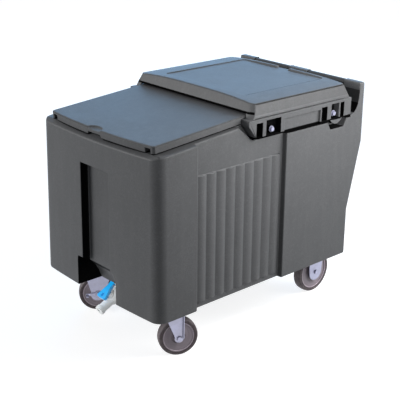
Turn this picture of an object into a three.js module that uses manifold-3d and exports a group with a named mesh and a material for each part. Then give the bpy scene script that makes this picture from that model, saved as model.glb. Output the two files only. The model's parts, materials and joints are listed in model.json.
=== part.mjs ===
// Mobile ice bin: an insulated tub on four casters, with a sliding front lid and a bolted rear hood.
// Millimetres, +Z up. The drain end is at -X, the push handle at +X, and Y runs across the bin.
// Places along the bin are measured from the middle of the front face until the last group moves them.
import * as THREE from 'three';
import { mergeVertices } from 'three/addons/utils/BufferGeometryUtils.js';
import Module from 'manifold-3d';

const wasm = await Module();
wasm.setup();

// Fits shared by all pieces
const seatGap = 0.3;
const cutOverrun = 6;
const curveSteps = 5;
const tyreSides = 32;
const coreSides = 16;
const roundSides = 20;
const smallSides = 12;
const hexSides = 6;

// Tub, outer skin
const binLength = 920;
const overhangReach = 56;
const footHalfWidth = 293;
const sideTaper = 7.6;
const footHeight = 165;
const overhangStartHeight = 329.5;
const overhangDrop = 96;
const frontBow = 11;
const frontCornerRadius = 37;
const rearCornerRadius = 12;
const columnLength = 163;
const rearPanelLength = 326;
const panelDepth = 17;
const panelStepRun = 3;

// Ribs on the long sides
const ribCount = 9;
const ribFieldStart = 172;
const ribFieldGap = 8;
const ribRise = 5;
const ribFootHeight = 184;
const ribTopDrop = 67.5;
const ribRootDepth = 3;

// Rim, lid seat and hood ledge
const frontShoulderRise = 11;
const frontShoulderRun = 24;
const seatFrontRise = 21.5;
const seatSlopeDegrees = 4.7;
const seatEnd = 343;
const ledgeStart = 400;
const ledgeHeight = 660.5;
const ledgeEndInset = 72;
const earNotchInset = 114;
const earNotchEndInset = 19;
const earNotchDepth = 26;
const earNotchSideRun = 14;
const ledgeWidth = 35;
const upstandEndInset = 36;
const rearRimRise = 4.5;

// Handle posts, middle block and bar
const postRise = 108;
const postThickness = 30;
const postWidth = 71;
const postCornerRadius = 11;
const postSweepStart = 3;
const postSweepDrop = 28;
const postSweepReach = 12;
const blockHalfWidth = 43;
const barRadius = 12.5;
const barWall = 2.5;
const barDrop = 14;
const barSocketDepth = 27;

// Ice well
const wellFront = 62;
const wellRearWall = 89;
const wellSideWall = 28;
const wellTaper = 8;
const wellCornerRadius = 40;
const wellChamferHeight = 300;
const wellFloorFront = 118;
const wellFloorHeight = 232;
const wellFloorRise = 12;
const wellFootLevel = 140;

// Lid rails on the rim
const railInset = 24;
const railThickness = 6;
const railHeight = 12;
const railStart = 45;
const railEndGap = 51;
const railStopLength = 10;
const railStopHeight = 20;
const railRoot = 3;

// Front channel and drain scoop
const channelHalfWidth = 70;
const channelDepth = 28;
const channelTopDrop = 73;
const channelCornerRadius = 8;
const scoopHalfWidth = 97;
const scoopTopHeight = 270;
const scoopDepth = 94;
const scoopFarRadius = 8;
const scoopNearRadius = 32;
const scoopBendReach = 72;
const scoopBendHeight = 242;

// Drain boss, bore and sump
const drainAngleDegrees = 25;
const drainFaceX = 95;
const drainFaceHeight = 146;
const bossRadius = 26;
const drainWall = 58;
const sumpFloorHeight = 149;
const sumpHalfWidth = 40;
const sumpEnd = 218;
const sumpBlockStart = 130;
const sumpBlockEnd = 232;
const sumpBlockHalfWidth = 52;
const sumpBlockDrop = 33;

// Foam core and fill port
const foamFront = 36;
const foamWellGap = 8;
const foamRearWall = 14;
const foamSideWall = 31;
const foamFootHeight = 195;
const foamFloorTop = 222;
const foamFloorStart = 290;
const foamTopDrop = 30.5;
const foamFrontFootHeight = 340;
const portX = 560;
const portRadius = 13;
const plugHeadRadius = 18;
const plugHeadHeight = 2.4;
const plugDepth = 22;

// Drain shelf
const shelfFront = 108;
const shelfEndGap = 5;
const shelfSideGap = 4;
const shelfTopHeight = 262;
const shelfThickness = 7;
const shelfRibCount = 3;
const shelfRibSpacing = 130;
const shelfRibWidth = 6;
const shelfSlotColumns = 9;
const shelfSlotRows = 6;
const shelfSlotLength = 48;
const shelfSlotWidth = 8;
const shelfEdgeMargin = 24;

// Front lid
const lidCornerFront = 27;
const lidBow = 16;
const lidRear = 420;
const lidThickness = 25;
const lidBevel = 2;
const lidSeatGap = 0.4;
const lidCornerRadius = 6;
const grooveWidth = 20;
const grooveDepth = 16;
const gripHalfWidth = 33;
const gripReach = 23;
const gripDepth = 7;
const gripOffset = 8;
const lipCutHalfWidth = 39;
const lipCutTopHalfWidth = 28;
const lipCutHeight = 9;
const lipCutDepth = 13;

// Rear hood
const hoodSideInset = 1.5;
const hoodFront = 382;
const hoodRearInset = 2;
const hoodFlangeRise = 67;
const hoodWallLean = 0.36;
const hoodWallHeight = 44.5;
const hoodCrown = 10;
const hoodWall = 4;
const hoodRoof = 7;
const hoodRoofFlatDrop = 0.4;
const hoodFrontChamfer = 20;
const hoodRearRadius = 14;
const hoodMouthRise = 14;
const bandSideInset = 0.4;
const bandNoseStart = 368;
const bandFlangeDepth = 18;
const bandFootGap = 3.5;
const bandEarStart = 404;
const bandRearWall = 9;
const bandRoot = 1;
const rearEarInset = 106;
const rearEarEndInset = 28;
const rearEarDrop = 16;
const rearEarMiddleInset = 31;
const rearEarRadius = 35;
const trayFront = 442;
const trayRearRim = 36;
const traySideRim = 96.5;
const trayRise = 3.6;
const trayCornerRadius = 12;
const channelOutHalfWidth = 27;

// Hood ears: pockets, slots and the panel between them
const pocketDepth = 23;
const pocketBossHeight = 10;
const pocketBossRadius = 11.5;
const pocketTopDrop = 9.5;
const frontPocketStart = 444;
const frontPocketEnd = 508;
const rearPocketInset = 2;
const rearPocketEndInset = 8;
const pocketFootLip = 5;
const earRibPlace = 42;
const earRibWidth = 8;
const slotTopDrop = 13.5;
const slotLength = 27;
const slotRibWidth = 16;
const sidePanelGap = 18;
const sidePanelEndGap = 50;
const sidePanelDepth = 8;
const sidePanelTopDrop = 18.5;
const frontBoltX = 478;
const rearBoltInset = 27;
const hoodBoltDrop = 44.5;

// Hood bolts
const boltRadius = 4;
const boltHeadRadius = 7.5;
const boltHeadHeight = 5.3;
const hoodBoltReach = 30;
const washerRadius = 10;
const washerThickness = 1.6;
const insertRadius = 7;
const insertLength = 22;
const boltClearance = 0.4;

// Faucet, in lengths along the drain axis and across it
const gasketThickness = 2.4;
const gasketRadius = 25;
const shankRadius = 10.5;
const shankBoreRadius = 6.5;
const shankReach = 14;
const barrelRadius = 28;
const barrelLength = 10;
const coneLength = 34;
const coneTipRadius = 18;
const nozzleRadius = 14.5;
const nozzleLipRadius = 16.5;
const nozzleLipLength = 12;
const faucetLength = 95;
const outletRadius = 8;
const outletDepth = 34;
const locknutRadius = 19;
const locknutThickness = 9;
const innerWasherRadius = 18;
const innerWasherThickness = 2;
const towerPlace = 36;
const towerRadius = 13;
const towerHeight = 27;
const towerBoreRadius = 8.9;
const bonnetHeight = 5.5;
const plungerRadius = 8.5;
const plungerHeight = 22;
const stemRadius = 3.6;
const stemTopHeight = 36.3;
const leverPivotPlace = 17;
const leverPivotHeight = 46;
const leverTiltDegrees = 14;
const leverLugHalfWidth = 5;
const leverLugRadius = 4;
const leverPinRadius = 2.5;
const leverThickness = 10;
const leverUnderside = 3.5;
const leverSlotHeight = 4.4;
const leverTail = 9;
const leverReach = 54;
const leverRootHalfWidth = 9;
const leverTipHalfWidth = 20;
const leverTipRadius = 7;
const leverHoleRadius = 5.5;
const leverHolePlace = 42;

// Wheels shared by all casters
const frontWheel = { radius: 63.5, tyreInner: 51, rim: 46, dish: 43 };
const rearWheel = { radius: 76.2, tyreInner: 63, rim: 58, dish: 55 };
const tyreHalfWidth = 16;
const tyreShoulder = 2.2;
const tyreTreadHalfWidth = 10;
const coreHalfWidth = 15.5;
const coreWebHalfWidth = 8;
const hubHalfWidth = 18.5;
const hubRadius = 17;
const hubFootRadius = 19;
const hubBoreRadius = 8.2;
const sleeveRadius = 7.9;

// Forks, plates and axles
const plateLength = 100;
const plateWidth = 86;
const plateThickness = 4;
const plateBoltInset = 13;
const plateBoltReach = 20;
const plateBoltHeadHeight = 4.6;
const legInner = 20;
const legThickness = 3;
const legEndRadius = 15;
const legArcStart = 0.9;
const axleNutThickness = 6;
const axleTail = 2.5;
const trail = 35;
const crownHeight = 141;
const crownThickness = 4;
const crownRadius = 34;
const crownLegFront = -10;
const brakedShoulderReach = 42;
const brakedShoulderRadius = 18;
const brakedEndRadius = 25;
const legFlangeWidth = 6;
const cupRadius = 29;
const cupHeight = 5;
const raceRadius = 32;
const raceGrooveDepth = 3;
const kingpinRadius = 6.2;
const kingpinHeadRadius = 11;
const kingpinHeadHeight = 4.2;
const runningGap = 0.3;
const swivelX = 113;
const swivelInset = 85;
const nearSwivelDegrees = -26;
const farSwivelDegrees = -32;
const rigidInset = 52;
const rigidSideInset = 107;
const rigidLegHalfLength = 38;
const rigidLegWaist = 33;
const rigidWaistHeight = 102;
const rigidEndRadius = 31;

// Brake lever on the far front caster
const brakeThickness = 3;
const brakeHubRadius = 11;
const brakeReach = 42;
const brakeArmHalfHeight = 4.5;
const brakeTabLength = 10;
const brakeTabWidth = 16;

// Values worked out from the sizes above
const footLength = binLength - overhangReach;
const rimHalfWidth = footHalfWidth - sideTaper;
const rearPanelStart = footLength - rearPanelLength;
const ribFieldEnd = rearPanelStart - ribFieldGap;
const overhangEndHeight = ledgeHeight - overhangDrop;
const ribTopHeight = ledgeHeight - ribTopDrop;
const frontShoulderHeight = ledgeHeight + frontShoulderRise;
const seatFrontHeight = ledgeHeight + seatFrontRise;
const rearRimHeight = ledgeHeight + rearRimRise;
const postTopHeight = ledgeHeight + postRise;
const skinTopHeight = postTopHeight + 4 * cutOverrun;
const ledgeEnd = binLength - ledgeEndInset;
const earNotchStart = ledgeEnd - earNotchInset;
const earNotchEnd = ledgeEnd - earNotchEndInset;
const upstandEnd = ledgeEnd - upstandEndInset;
const bandHalfWidth = rimHalfWidth - bandSideInset;
const upstandHalfWidth = bandHalfWidth - ledgeWidth;
const wellRear = footLength - wellRearWall;
const wellHalfWidth = upstandHalfWidth - wellSideWall;
const wellFootHalfWidth = wellHalfWidth - wellTaper;
const railHalfSpacing = upstandHalfWidth - railInset;
const railEnd = wellRear - railEndGap;
const channelTopHeight = ledgeHeight - channelTopDrop;
const foamRear = footLength - foamRearWall;
const foamHalfWidth = footHalfWidth - foamSideWall;
const foamTopHeight = ledgeHeight - foamTopDrop;
const lidHalfWidth = upstandHalfWidth;
const hoodHalfWidth = bandHalfWidth - hoodSideInset;
const bandRear = ledgeEnd;
const hoodRear = bandRear - hoodRearInset;
const hoodFlangeHeight = ledgeHeight + hoodFlangeRise;
const hoodEdgeHeight = hoodFlangeHeight + hoodWallHeight;
const hoodRoofFlatHeight = hoodEdgeHeight - hoodRoofFlatDrop;
const hoodMouthHeight = hoodFlangeHeight + hoodMouthRise;
const bandFootHeight = ledgeHeight + bandFootGap;
const rearEarStart = bandRear - rearEarInset;
const rearEarEnd = bandRear - rearEarEndInset;
const trayRear = bandRear - trayRearRim;
const trayHalfWidth = hoodHalfWidth - traySideRim;
const trayHeight = hoodEdgeHeight + trayRise;
const pocketTopHeight = hoodFlangeHeight - pocketTopDrop;
const rearPocketStart = rearEarStart + rearPocketInset;
const rearPocketEnd = rearEarEnd - rearPocketEndInset;
const slotTopHeight = hoodFlangeHeight - slotTopDrop;
const sidePanelStart = frontPocketEnd + sidePanelGap;
const sidePanelEnd = rearPocketStart - sidePanelEndGap;
const sidePanelTopHeight = hoodFlangeHeight - sidePanelTopDrop;
const rearBoltX = rearPocketStart + rearBoltInset;
const hoodBoltHeight = hoodFlangeHeight - hoodBoltDrop;
const swivelY = footHalfWidth - swivelInset;
const rigidX = footLength - rigidInset;
const rigidY = footHalfWidth - rigidSideInset;
const seatSlope = Math.tan(THREE.MathUtils.degToRad(seatSlopeDegrees));
const seatAngle = THREE.MathUtils.degToRad(seatSlopeDegrees);
const drainAngle = THREE.MathUtils.degToRad(drainAngleDegrees);
const postFront = binLength - postThickness;
const barHeight = postTopHeight - barDrop;
const barX = postFront + postThickness / 2;
const hoodInnerHalfWidth = upstandHalfWidth + seatGap;
const hoodFootHeight = bandFootHeight - rearEarDrop;
const pocketFloor = bandHalfWidth - pocketDepth;
const pocketBossFace = pocketFloor + pocketBossHeight;
const rearEarMiddle = rearPocketStart + rearEarMiddleInset;
const earRibStart = rearPocketStart + earRibPlace;
const postInner = rimHalfWidth - postWidth;

// Materials, one per kind of stuff
function material(name, color, roughness, metalness) {
  return new THREE.MeshStandardMaterial({ name, color, roughness, metalness });
}
const charcoalPlastic = material('charcoal_plastic', 0x55575a, 0.55, 0);
const foam = material('insulating_foam', 0xe6d9a8, 0.95, 0);
const shelfPlastic = material('shelf_plastic', 0x4a4c4f, 0.6, 0);
const whitePlastic = material('white_plastic', 0xeef0f0, 0.4, 0);
const bluePlastic = material('blue_plastic', 0x00a2f2, 0.35, 0);
const blackRubber = material('black_rubber', 0x1c1c1e, 0.9, 0);
const treadRubber = material('tread_rubber', 0x50443f, 0.8, 0);
const wheelPlastic = material('wheel_plastic', 0x7d7378, 0.6, 0);
const zincSteel = material('zinc_steel', 0xb4b6c8, 0.35, 0.9);
const brass = material('brass', 0xb08d3e, 0.4, 1);

// Joining and cutting
function toSolid(geometry) {
  const bare = geometry.clone();
  bare.deleteAttribute('normal');
  bare.deleteAttribute('uv');
  const merged = mergeVertices(bare);
  const vertProperties = new Float32Array(merged.attributes.position.array);
  const triVerts = new Uint32Array(merged.index.array);
  if (signedVolume(vertProperties, triVerts) < 0) {
    for (let i = 0; i < triVerts.length; i += 3) {
      [triVerts[i], triVerts[i + 1]] = [triVerts[i + 1], triVerts[i]];
    }
  }
  return new wasm.Manifold(new wasm.Mesh({ numProp: 3, vertProperties, triVerts }));
}

function signedVolume(places, corners) {
  const a = new THREE.Vector3();
  const b = new THREE.Vector3();
  const c = new THREE.Vector3();
  let sum = 0;
  for (let i = 0; i < corners.length; i += 3) {
    a.fromArray(places, 3 * corners[i]);
    b.fromArray(places, 3 * corners[i + 1]);
    c.fromArray(places, 3 * corners[i + 2]);
    sum += a.dot(b.cross(c));
  }
  return sum;
}

function asSolid(part) {
  return part.isBufferGeometry ? toSolid(part) : part;
}

function join(first, ...others) {
  return others.reduce((sum, part) => sum.add(asSolid(part)), asSolid(first));
}

function cut(first, ...tools) {
  return tools.reduce((rest, tool) => rest.subtract(asSolid(tool)), asSolid(first));
}

function common(first, second) {
  return asSolid(first).intersect(asSolid(second));
}

function meshOf(name, part, stuff) {
  const result = asSolid(part).getMesh();
  const geometry = new THREE.BufferGeometry();
  geometry.setAttribute('position', new THREE.Float32BufferAttribute(result.vertProperties, 3));
  geometry.setIndex(Array.from(result.triVerts));
  geometry.computeVertexNormals();
  const mesh = new THREE.Mesh(geometry, stuff);
  mesh.name = name;
  return mesh;
}

function mirrored(make) {
  return join(make(1), make(-1));
}

// Plain shapes
function slab(x0, x1, y0, y1, z0, z1) {
  const box = new THREE.BoxGeometry(x1 - x0, Math.abs(y1 - y0), z1 - z0);
  return box.translate((x0 + x1) / 2, (y0 + y1) / 2, (z0 + z1) / 2);
}

function outline(points) {
  return new THREE.Shape(points.map(([u, v]) => new THREE.Vector2(u, v)));
}

function extruded(shape, depth, steps = 1) {
  return new THREE.ExtrudeGeometry(shape, { depth, steps, bevelEnabled: false, curveSegments: curveSteps });
}

// A shape drawn in X and Y, raised along Z
function prismUp(shape, z0, z1) {
  return extruded(shape, z1 - z0).translate(0, 0, z0);
}

// A shape drawn in X and Z, drawn out along Y
function prismAcross(shape, y0, y1) {
  const low = Math.min(y0, y1);
  const high = Math.max(y0, y1);
  return extruded(shape, high - low).rotateX(Math.PI / 2).translate(0, high, 0);
}

// A shape drawn in Y and Z, drawn out along X
function prismAlong(shape, x0, x1) {
  const turn = new THREE.Matrix4();
  turn.makeBasis(new THREE.Vector3(0, 1, 0), new THREE.Vector3(0, 0, 1), new THREE.Vector3(1, 0, 0));
  return extruded(shape, x1 - x0).applyMatrix4(turn).translate(x0, 0, 0);
}

// A shape drawn in X and Y and raised through levels, each level with its own change of outline
function stack(shape, levels, place) {
  const geometry = extruded(shape, levels.length - 1, levels.length - 1);
  const position = geometry.attributes.position;
  for (let i = 0; i < position.count; i += 1) {
    const level = Math.round(position.getZ(i));
    const [x, y] = place(position.getX(i), position.getY(i), level);
    position.setXYZ(i, x, y, levels[level]);
  }
  return geometry;
}

function rodUp(radius, z0, z1, sides = smallSides) {
  const rod = new THREE.CylinderGeometry(radius, radius, z1 - z0, sides);
  return rod.rotateX(Math.PI / 2).translate(0, 0, (z0 + z1) / 2);
}

function rodAcross(radius, y0, y1, sides = smallSides) {
  return new THREE.CylinderGeometry(radius, radius, Math.abs(y1 - y0), sides).translate(0, (y0 + y1) / 2, 0);
}

function rodAlong(radius, x0, x1, sides = smallSides) {
  const rod = new THREE.CylinderGeometry(radius, radius, x1 - x0, sides);
  return rod.rotateZ(Math.PI / 2).translate((x0 + x1) / 2, 0, 0);
}

function roundedRectangle(x0, x1, halfWidth, radius) {
  const shape = new THREE.Shape();
  shape.moveTo(x0, -halfWidth + radius);
  shape.absarc(x0 + radius, -halfWidth + radius, radius, Math.PI, 1.5 * Math.PI);
  shape.absarc(x1 - radius, -halfWidth + radius, radius, -0.5 * Math.PI, 0);
  shape.absarc(x1 - radius, halfWidth - radius, radius, 0, 0.5 * Math.PI);
  shape.absarc(x0 + radius, halfWidth - radius, radius, 0.5 * Math.PI, Math.PI);
  return shape;
}

// Heights and widths that many pieces follow
function halfWidthAt(height) {
  const share = (height - footHeight) / (ledgeHeight - footHeight);
  return footHalfWidth + (rimHalfWidth - footHalfWidth) * share;
}

function seatHeightAt(x) {
  return seatFrontHeight + (x - frontShoulderRun) * seatSlope;
}

function floorHeightAt(x) {
  return wellFloorHeight + wellFloorRise * (x - wellFloorFront) / (wellRear - wellFloorFront);
}

// Moves a shape made along the drain axis to its place: +X there points out of the bin and down
function alongDrain(part) {
  const move = new THREE.Matrix4().makeTranslation(drainFaceX, 0, drainFaceHeight);
  move.multiply(new THREE.Matrix4().makeRotationZ(Math.PI));
  move.multiply(new THREE.Matrix4().makeRotationY(drainAngle));
  return part.applyMatrix4(move);
}

// Tub skin: bowed front, proud front column, set-back ribbed panel, proud rear panel and overhang
function skinSide() {
  const points = [];
  const flatHalf = footHalfWidth - frontCornerRadius;
  const bowAt = (y) => frontBow * (y / footHalfWidth) ** 2;
  for (let i = 0; i <= curveSteps; i += 1) {
    const y = flatHalf * i / curveSteps;
    points.push([bowAt(y), -y]);
  }
  const cornerX = bowAt(flatHalf) + frontCornerRadius;
  for (let i = 1; i <= curveSteps; i += 1) {
    const turn = (Math.PI / 2) * i / curveSteps;
    const x = cornerX - frontCornerRadius * Math.cos(turn);
    points.push([x, -flatHalf - frontCornerRadius * Math.sin(turn)]);
  }
  points.push([columnLength, -footHalfWidth]);
  points.push([columnLength + panelStepRun, -footHalfWidth + panelDepth]);
  points.push([rearPanelStart - panelStepRun, -footHalfWidth + panelDepth]);
  points.push([rearPanelStart, -footHalfWidth]);
  for (let i = 0; i <= curveSteps; i += 1) {
    const turn = (Math.PI / 2) * i / curveSteps;
    const x = footLength - rearCornerRadius + rearCornerRadius * Math.sin(turn);
    const y = -footHalfWidth + rearCornerRadius - rearCornerRadius * Math.cos(turn);
    points.push([x, y]);
  }
  return points;
}

function skin() {
  const side = skinSide();
  const other = side.slice(1).reverse().map(([x, y]) => [x, -y]);
  const levels = [footHeight, overhangStartHeight, overhangEndHeight, skinTopHeight];
  const reach = [0, 0, overhangReach, overhangReach];
  const rearFrom = (rearPanelStart + footLength) / 2;
  const geometry = stack(outline([...side, ...other]), levels, (x, y, level) => {
    const narrowed = y * halfWidthAt(levels[level]) / footHalfWidth;
    return [x > rearFrom ? x + reach[level] : x, narrowed];
  });
  return join(geometry, ribs(1), ribs(-1));
}

function ribs(side) {
  const panel = footHalfWidth - panelDepth;
  const pitch = (ribFieldEnd - ribFieldStart) / ribCount;
  const points = [[ribFieldStart, -panel + ribRootDepth]];
  for (let rib = 0; rib < ribCount; rib += 1) {
    for (let i = rib === 0 ? 0 : 1; i <= curveSteps; i += 1) {
      const x = ribFieldStart + pitch * (rib + i / curveSteps);
      points.push([x, -panel - ribRise * Math.sin(Math.PI * i / curveSteps)]);
    }
  }
  points.push([ribFieldEnd, -panel + ribRootDepth]);
  const levels = [ribFootHeight, ribTopHeight];
  const narrow = (x, y, level) => [x, side * y * halfWidthAt(levels[level]) / footHalfWidth];
  return stack(outline(points), levels, narrow);
}

// Side outline of everything: the sloping lid seat, then the full height of the handle posts
function sideOutline() {
  const low = footHeight - cutOverrun;
  const roundCentre = [binLength - postCornerRadius, postTopHeight - postCornerRadius];
  const shape = new THREE.Shape();
  shape.moveTo(-cutOverrun, low);
  shape.lineTo(binLength + cutOverrun, low);
  shape.lineTo(binLength + cutOverrun, postTopHeight - postCornerRadius);
  shape.lineTo(binLength, postTopHeight - postCornerRadius);
  shape.absarc(...roundCentre, postCornerRadius, 0, Math.PI / 2);
  shape.lineTo(ledgeEnd, postTopHeight);
  shape.lineTo(ledgeEnd, seatHeightAt(ledgeEnd));
  shape.lineTo(frontShoulderRun, seatFrontHeight);
  shape.lineTo(0, frontShoulderHeight);
  shape.lineTo(-cutOverrun, frontShoulderHeight);
  return shape;
}

// What comes away over the rear rim, up to the swept front of the handle posts
function sweepOutline() {
  const top = postTopHeight + cutOverrun;
  const shape = new THREE.Shape();
  shape.moveTo(upstandEnd, rearRimHeight);
  shape.lineTo(ledgeEnd + postSweepStart, rearRimHeight);
  shape.quadraticCurveTo(postFront, rearRimHeight + postSweepReach, postFront, postTopHeight - postSweepDrop);
  shape.lineTo(postFront, top);
  shape.lineTo(upstandEnd, top);
  return shape;
}

// What comes away outside the upstand: the ledge that the hood sides stand on, with its ear notch
function ledgeOutline() {
  const notchFloor = ledgeHeight - earNotchDepth;
  const top = postTopHeight + cutOverrun;
  return outline([
    [seatEnd, seatHeightAt(seatEnd)],
    [ledgeStart, ledgeHeight],
    [earNotchStart, ledgeHeight],
    [earNotchStart + earNotchSideRun, notchFloor],
    [earNotchEnd - earNotchSideRun, notchFloor],
    [earNotchEnd, ledgeHeight],
    [ledgeEnd, ledgeHeight],
    [ledgeEnd, top],
    [seatEnd, top],
  ]);
}

function tubBlock() {
  const wide = footHalfWidth + cutOverrun;
  const top = postTopHeight + cutOverrun;
  const block = common(skin(), prismAcross(sideOutline(), -wide, wide));
  const ledges = mirrored((side) => prismAcross(ledgeOutline(), side * upstandHalfWidth, side * wide));
  const handGaps = mirrored((side) => {
    const gapEnd = binLength + cutOverrun;
    return slab(upstandEnd + cutOverrun, gapEnd, side * blockHalfWidth, side * postInner, rearRimHeight, top);
  });
  return cut(block, prismAcross(sweepOutline(), -wide, wide), ledges, handGaps);
}

// The scoop under the front channel, with a curved ceiling and a wider curve at one top corner
function scoop() {
  const face = new THREE.Shape();
  const low = footHeight - cutOverrun;
  face.moveTo(-scoopHalfWidth, low);
  face.lineTo(scoopHalfWidth, low);
  face.lineTo(scoopHalfWidth, scoopTopHeight - scoopFarRadius);
  const farCentre = [scoopHalfWidth - scoopFarRadius, scoopTopHeight - scoopFarRadius];
  face.absarc(...farCentre, scoopFarRadius, 0, Math.PI / 2);
  face.lineTo(scoopNearRadius - scoopHalfWidth, scoopTopHeight);
  const nearCentre = [scoopNearRadius - scoopHalfWidth, scoopTopHeight - scoopNearRadius];
  face.absarc(...nearCentre, scoopNearRadius, Math.PI / 2, Math.PI);
  const side = new THREE.Shape();
  side.moveTo(-cutOverrun, low);
  side.lineTo(scoopDepth, low);
  side.lineTo(scoopDepth, footHeight);
  side.quadraticCurveTo(scoopBendReach, scoopBendHeight, 0, scoopTopHeight);
  side.lineTo(-cutOverrun, scoopTopHeight);
  const wide = scoopHalfWidth + cutOverrun;
  return common(prismAlong(face, -cutOverrun, scoopDepth + cutOverrun), prismAcross(side, -wide, wide));
}

function frontChannel() {
  const plan = roundedRectangle(-2 * channelDepth, channelDepth, channelHalfWidth, channelCornerRadius);
  return prismUp(plan, scoopTopHeight - channelDepth, channelTopHeight);
}

function well() {
  const levels = [wellFootLevel, skinTopHeight + cutOverrun];
  const scale = [wellFootHalfWidth / wellHalfWidth, 1];
  const plan = roundedRectangle(wellFront, wellRear, wellHalfWidth, wellCornerRadius);
  const column = stack(plan, levels, (x, y, level) => [x, y * scale[level]]);
  const side = outline([
    [wellFront - cutOverrun, wellChamferHeight],
    [wellFront, wellChamferHeight],
    [wellFloorFront, wellFloorHeight],
    [wellRear + cutOverrun, floorHeightAt(wellRear + cutOverrun)],
    [wellRear + cutOverrun, skinTopHeight],
    [wellFront - cutOverrun, skinTopHeight],
  ]);
  return common(column, prismAcross(side, -wellHalfWidth - cutOverrun, wellHalfWidth + cutOverrun));
}

function sump() {
  const top = wellFloorHeight + cutOverrun;
  const space = slab(wellFloorFront, sumpEnd, -sumpHalfWidth, sumpHalfWidth, sumpFloorHeight, top);
  const wide = sumpHalfWidth + cutOverrun;
  const tall = wellFloorHeight;
  return cut(space, alongDrain(slab(-drainWall, tall, -wide, wide, -tall, tall)));
}

// Foam: a trough round the well, cut away above the scoop at the front. It grows to cut its own room
function foamCore(grow) {
  const wide = foamHalfWidth + grow;
  const inner = wellHalfWidth + foamWellGap - grow;
  const foot = foamFootHeight - grow;
  const frontFoot = foamFrontFootHeight - grow;
  const top = foamTopHeight + grow;
  const side = outline([
    [foamFront - grow, frontFoot],
    [foamFloorStart - grow, frontFoot],
    [foamFloorStart - grow, foot],
    [foamRear + grow, foot],
    [foamRear + grow, top],
    [foamFront - grow, top],
  ]);
  const frontEnd = wellFront - foamWellGap + grow;
  const rearStart = wellRear + foamWellGap - grow;
  const hollow = slab(frontEnd, rearStart, -inner, inner, foamFloorTop + grow, top + cutOverrun);
  return cut(prismAcross(side, -wide, wide), hollow);
}

function rails() {
  const shape = outline([
    [railStart, seatHeightAt(railStart) - railRoot],
    [railEnd + railStopLength, seatHeightAt(railEnd + railStopLength) - railRoot],
    [railEnd + railStopLength, seatHeightAt(railEnd) + railStopHeight],
    [railEnd, seatHeightAt(railEnd) + railStopHeight],
    [railEnd, seatHeightAt(railEnd) + railHeight],
    [railStart, seatHeightAt(railStart) + railHeight],
  ]);
  return mirrored((side) => {
    const y0 = side * (railHalfSpacing - railThickness / 2);
    const y1 = side * (railHalfSpacing + railThickness / 2);
    return prismAcross(shape, y0, y1);
  });
}

function hoodBoltPlaces() {
  return [[frontBoltX, 1], [frontBoltX, -1], [rearBoltX, 1], [rearBoltX, -1]];
}

function plateBoltPlaces(x, y) {
  const dx = plateLength / 2 - plateBoltInset;
  const dy = plateWidth / 2 - plateBoltInset;
  return [[x - dx, y - dy], [x + dx, y - dy], [x - dx, y + dy], [x + dx, y + dy]];
}

function casterPlaces() {
  return [[swivelX, -swivelY], [swivelX, swivelY], [rigidX, -rigidY], [rigidX, rigidY]];
}

function binBody() {
  let body = cut(tubBlock(), scoop(), frontChannel());
  body = join(body, alongDrain(rodAlong(bossRadius, -drainWall, 0, roundSides)));
  const blockFoot = footHeight - sumpBlockDrop;
  const blockTop = footHeight + cutOverrun;
  const blockWide = sumpBlockHalfWidth;
  body = join(body, slab(sumpBlockStart, sumpBlockEnd, -blockWide, blockWide, blockFoot, blockTop));
  body = cut(body, well(), sump(), foamCore(seatGap));
  body = join(body, rails());
  const boreRadius = shankRadius + seatGap;
  body = cut(body, alongDrain(rodAlong(boreRadius, -drainWall - shankReach, cutOverrun, roundSides)));
  const port = rodUp(portRadius, footHeight - cutOverrun, foamFootHeight + cutOverrun);
  body = cut(body, port.translate(portX, 0, 0));
  for (const [x, side] of hoodBoltPlaces()) {
    const deep = upstandHalfWidth - insertLength - seatGap;
    const bore = rodAcross(insertRadius + seatGap, side * deep, side * (upstandHalfWidth + cutOverrun));
    body = cut(body, bore.translate(x, 0, hoodBoltHeight));
  }
  for (const [casterX, casterY] of casterPlaces()) {
    for (const [x, y] of plateBoltPlaces(casterX, casterY)) {
      const top = footHeight + plateBoltReach + seatGap;
      const bore = rodUp(boltRadius + seatGap, footHeight - cutOverrun, top, smallSides / 2);
      body = cut(body, bore.translate(x, y, 0));
    }
  }
  const socket = postInner + barSocketDepth + seatGap;
  const barBore = rodAcross(barRadius + seatGap, -socket, socket, smallSides);
  return cut(body, barBore.translate(barX, 0, barHeight));
}

function fillPlug() {
  const stem = rodUp(portRadius - seatGap, footHeight - seatGap - plugHeadHeight, footHeight + plugDepth);
  const head = rodUp(plugHeadRadius, footHeight - seatGap - plugHeadHeight, footHeight - seatGap);
  return join(stem, head).translate([portX, 0, 0]);
}

function handleBar() {
  const reach = postInner + barSocketDepth;
  const sides = smallSides;
  const hollow = rodAcross(barRadius - barWall, -reach - cutOverrun, reach + cutOverrun, sides);
  return cut(rodAcross(barRadius, -reach, reach, sides), hollow).translate([barX, 0, barHeight]);
}

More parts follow.
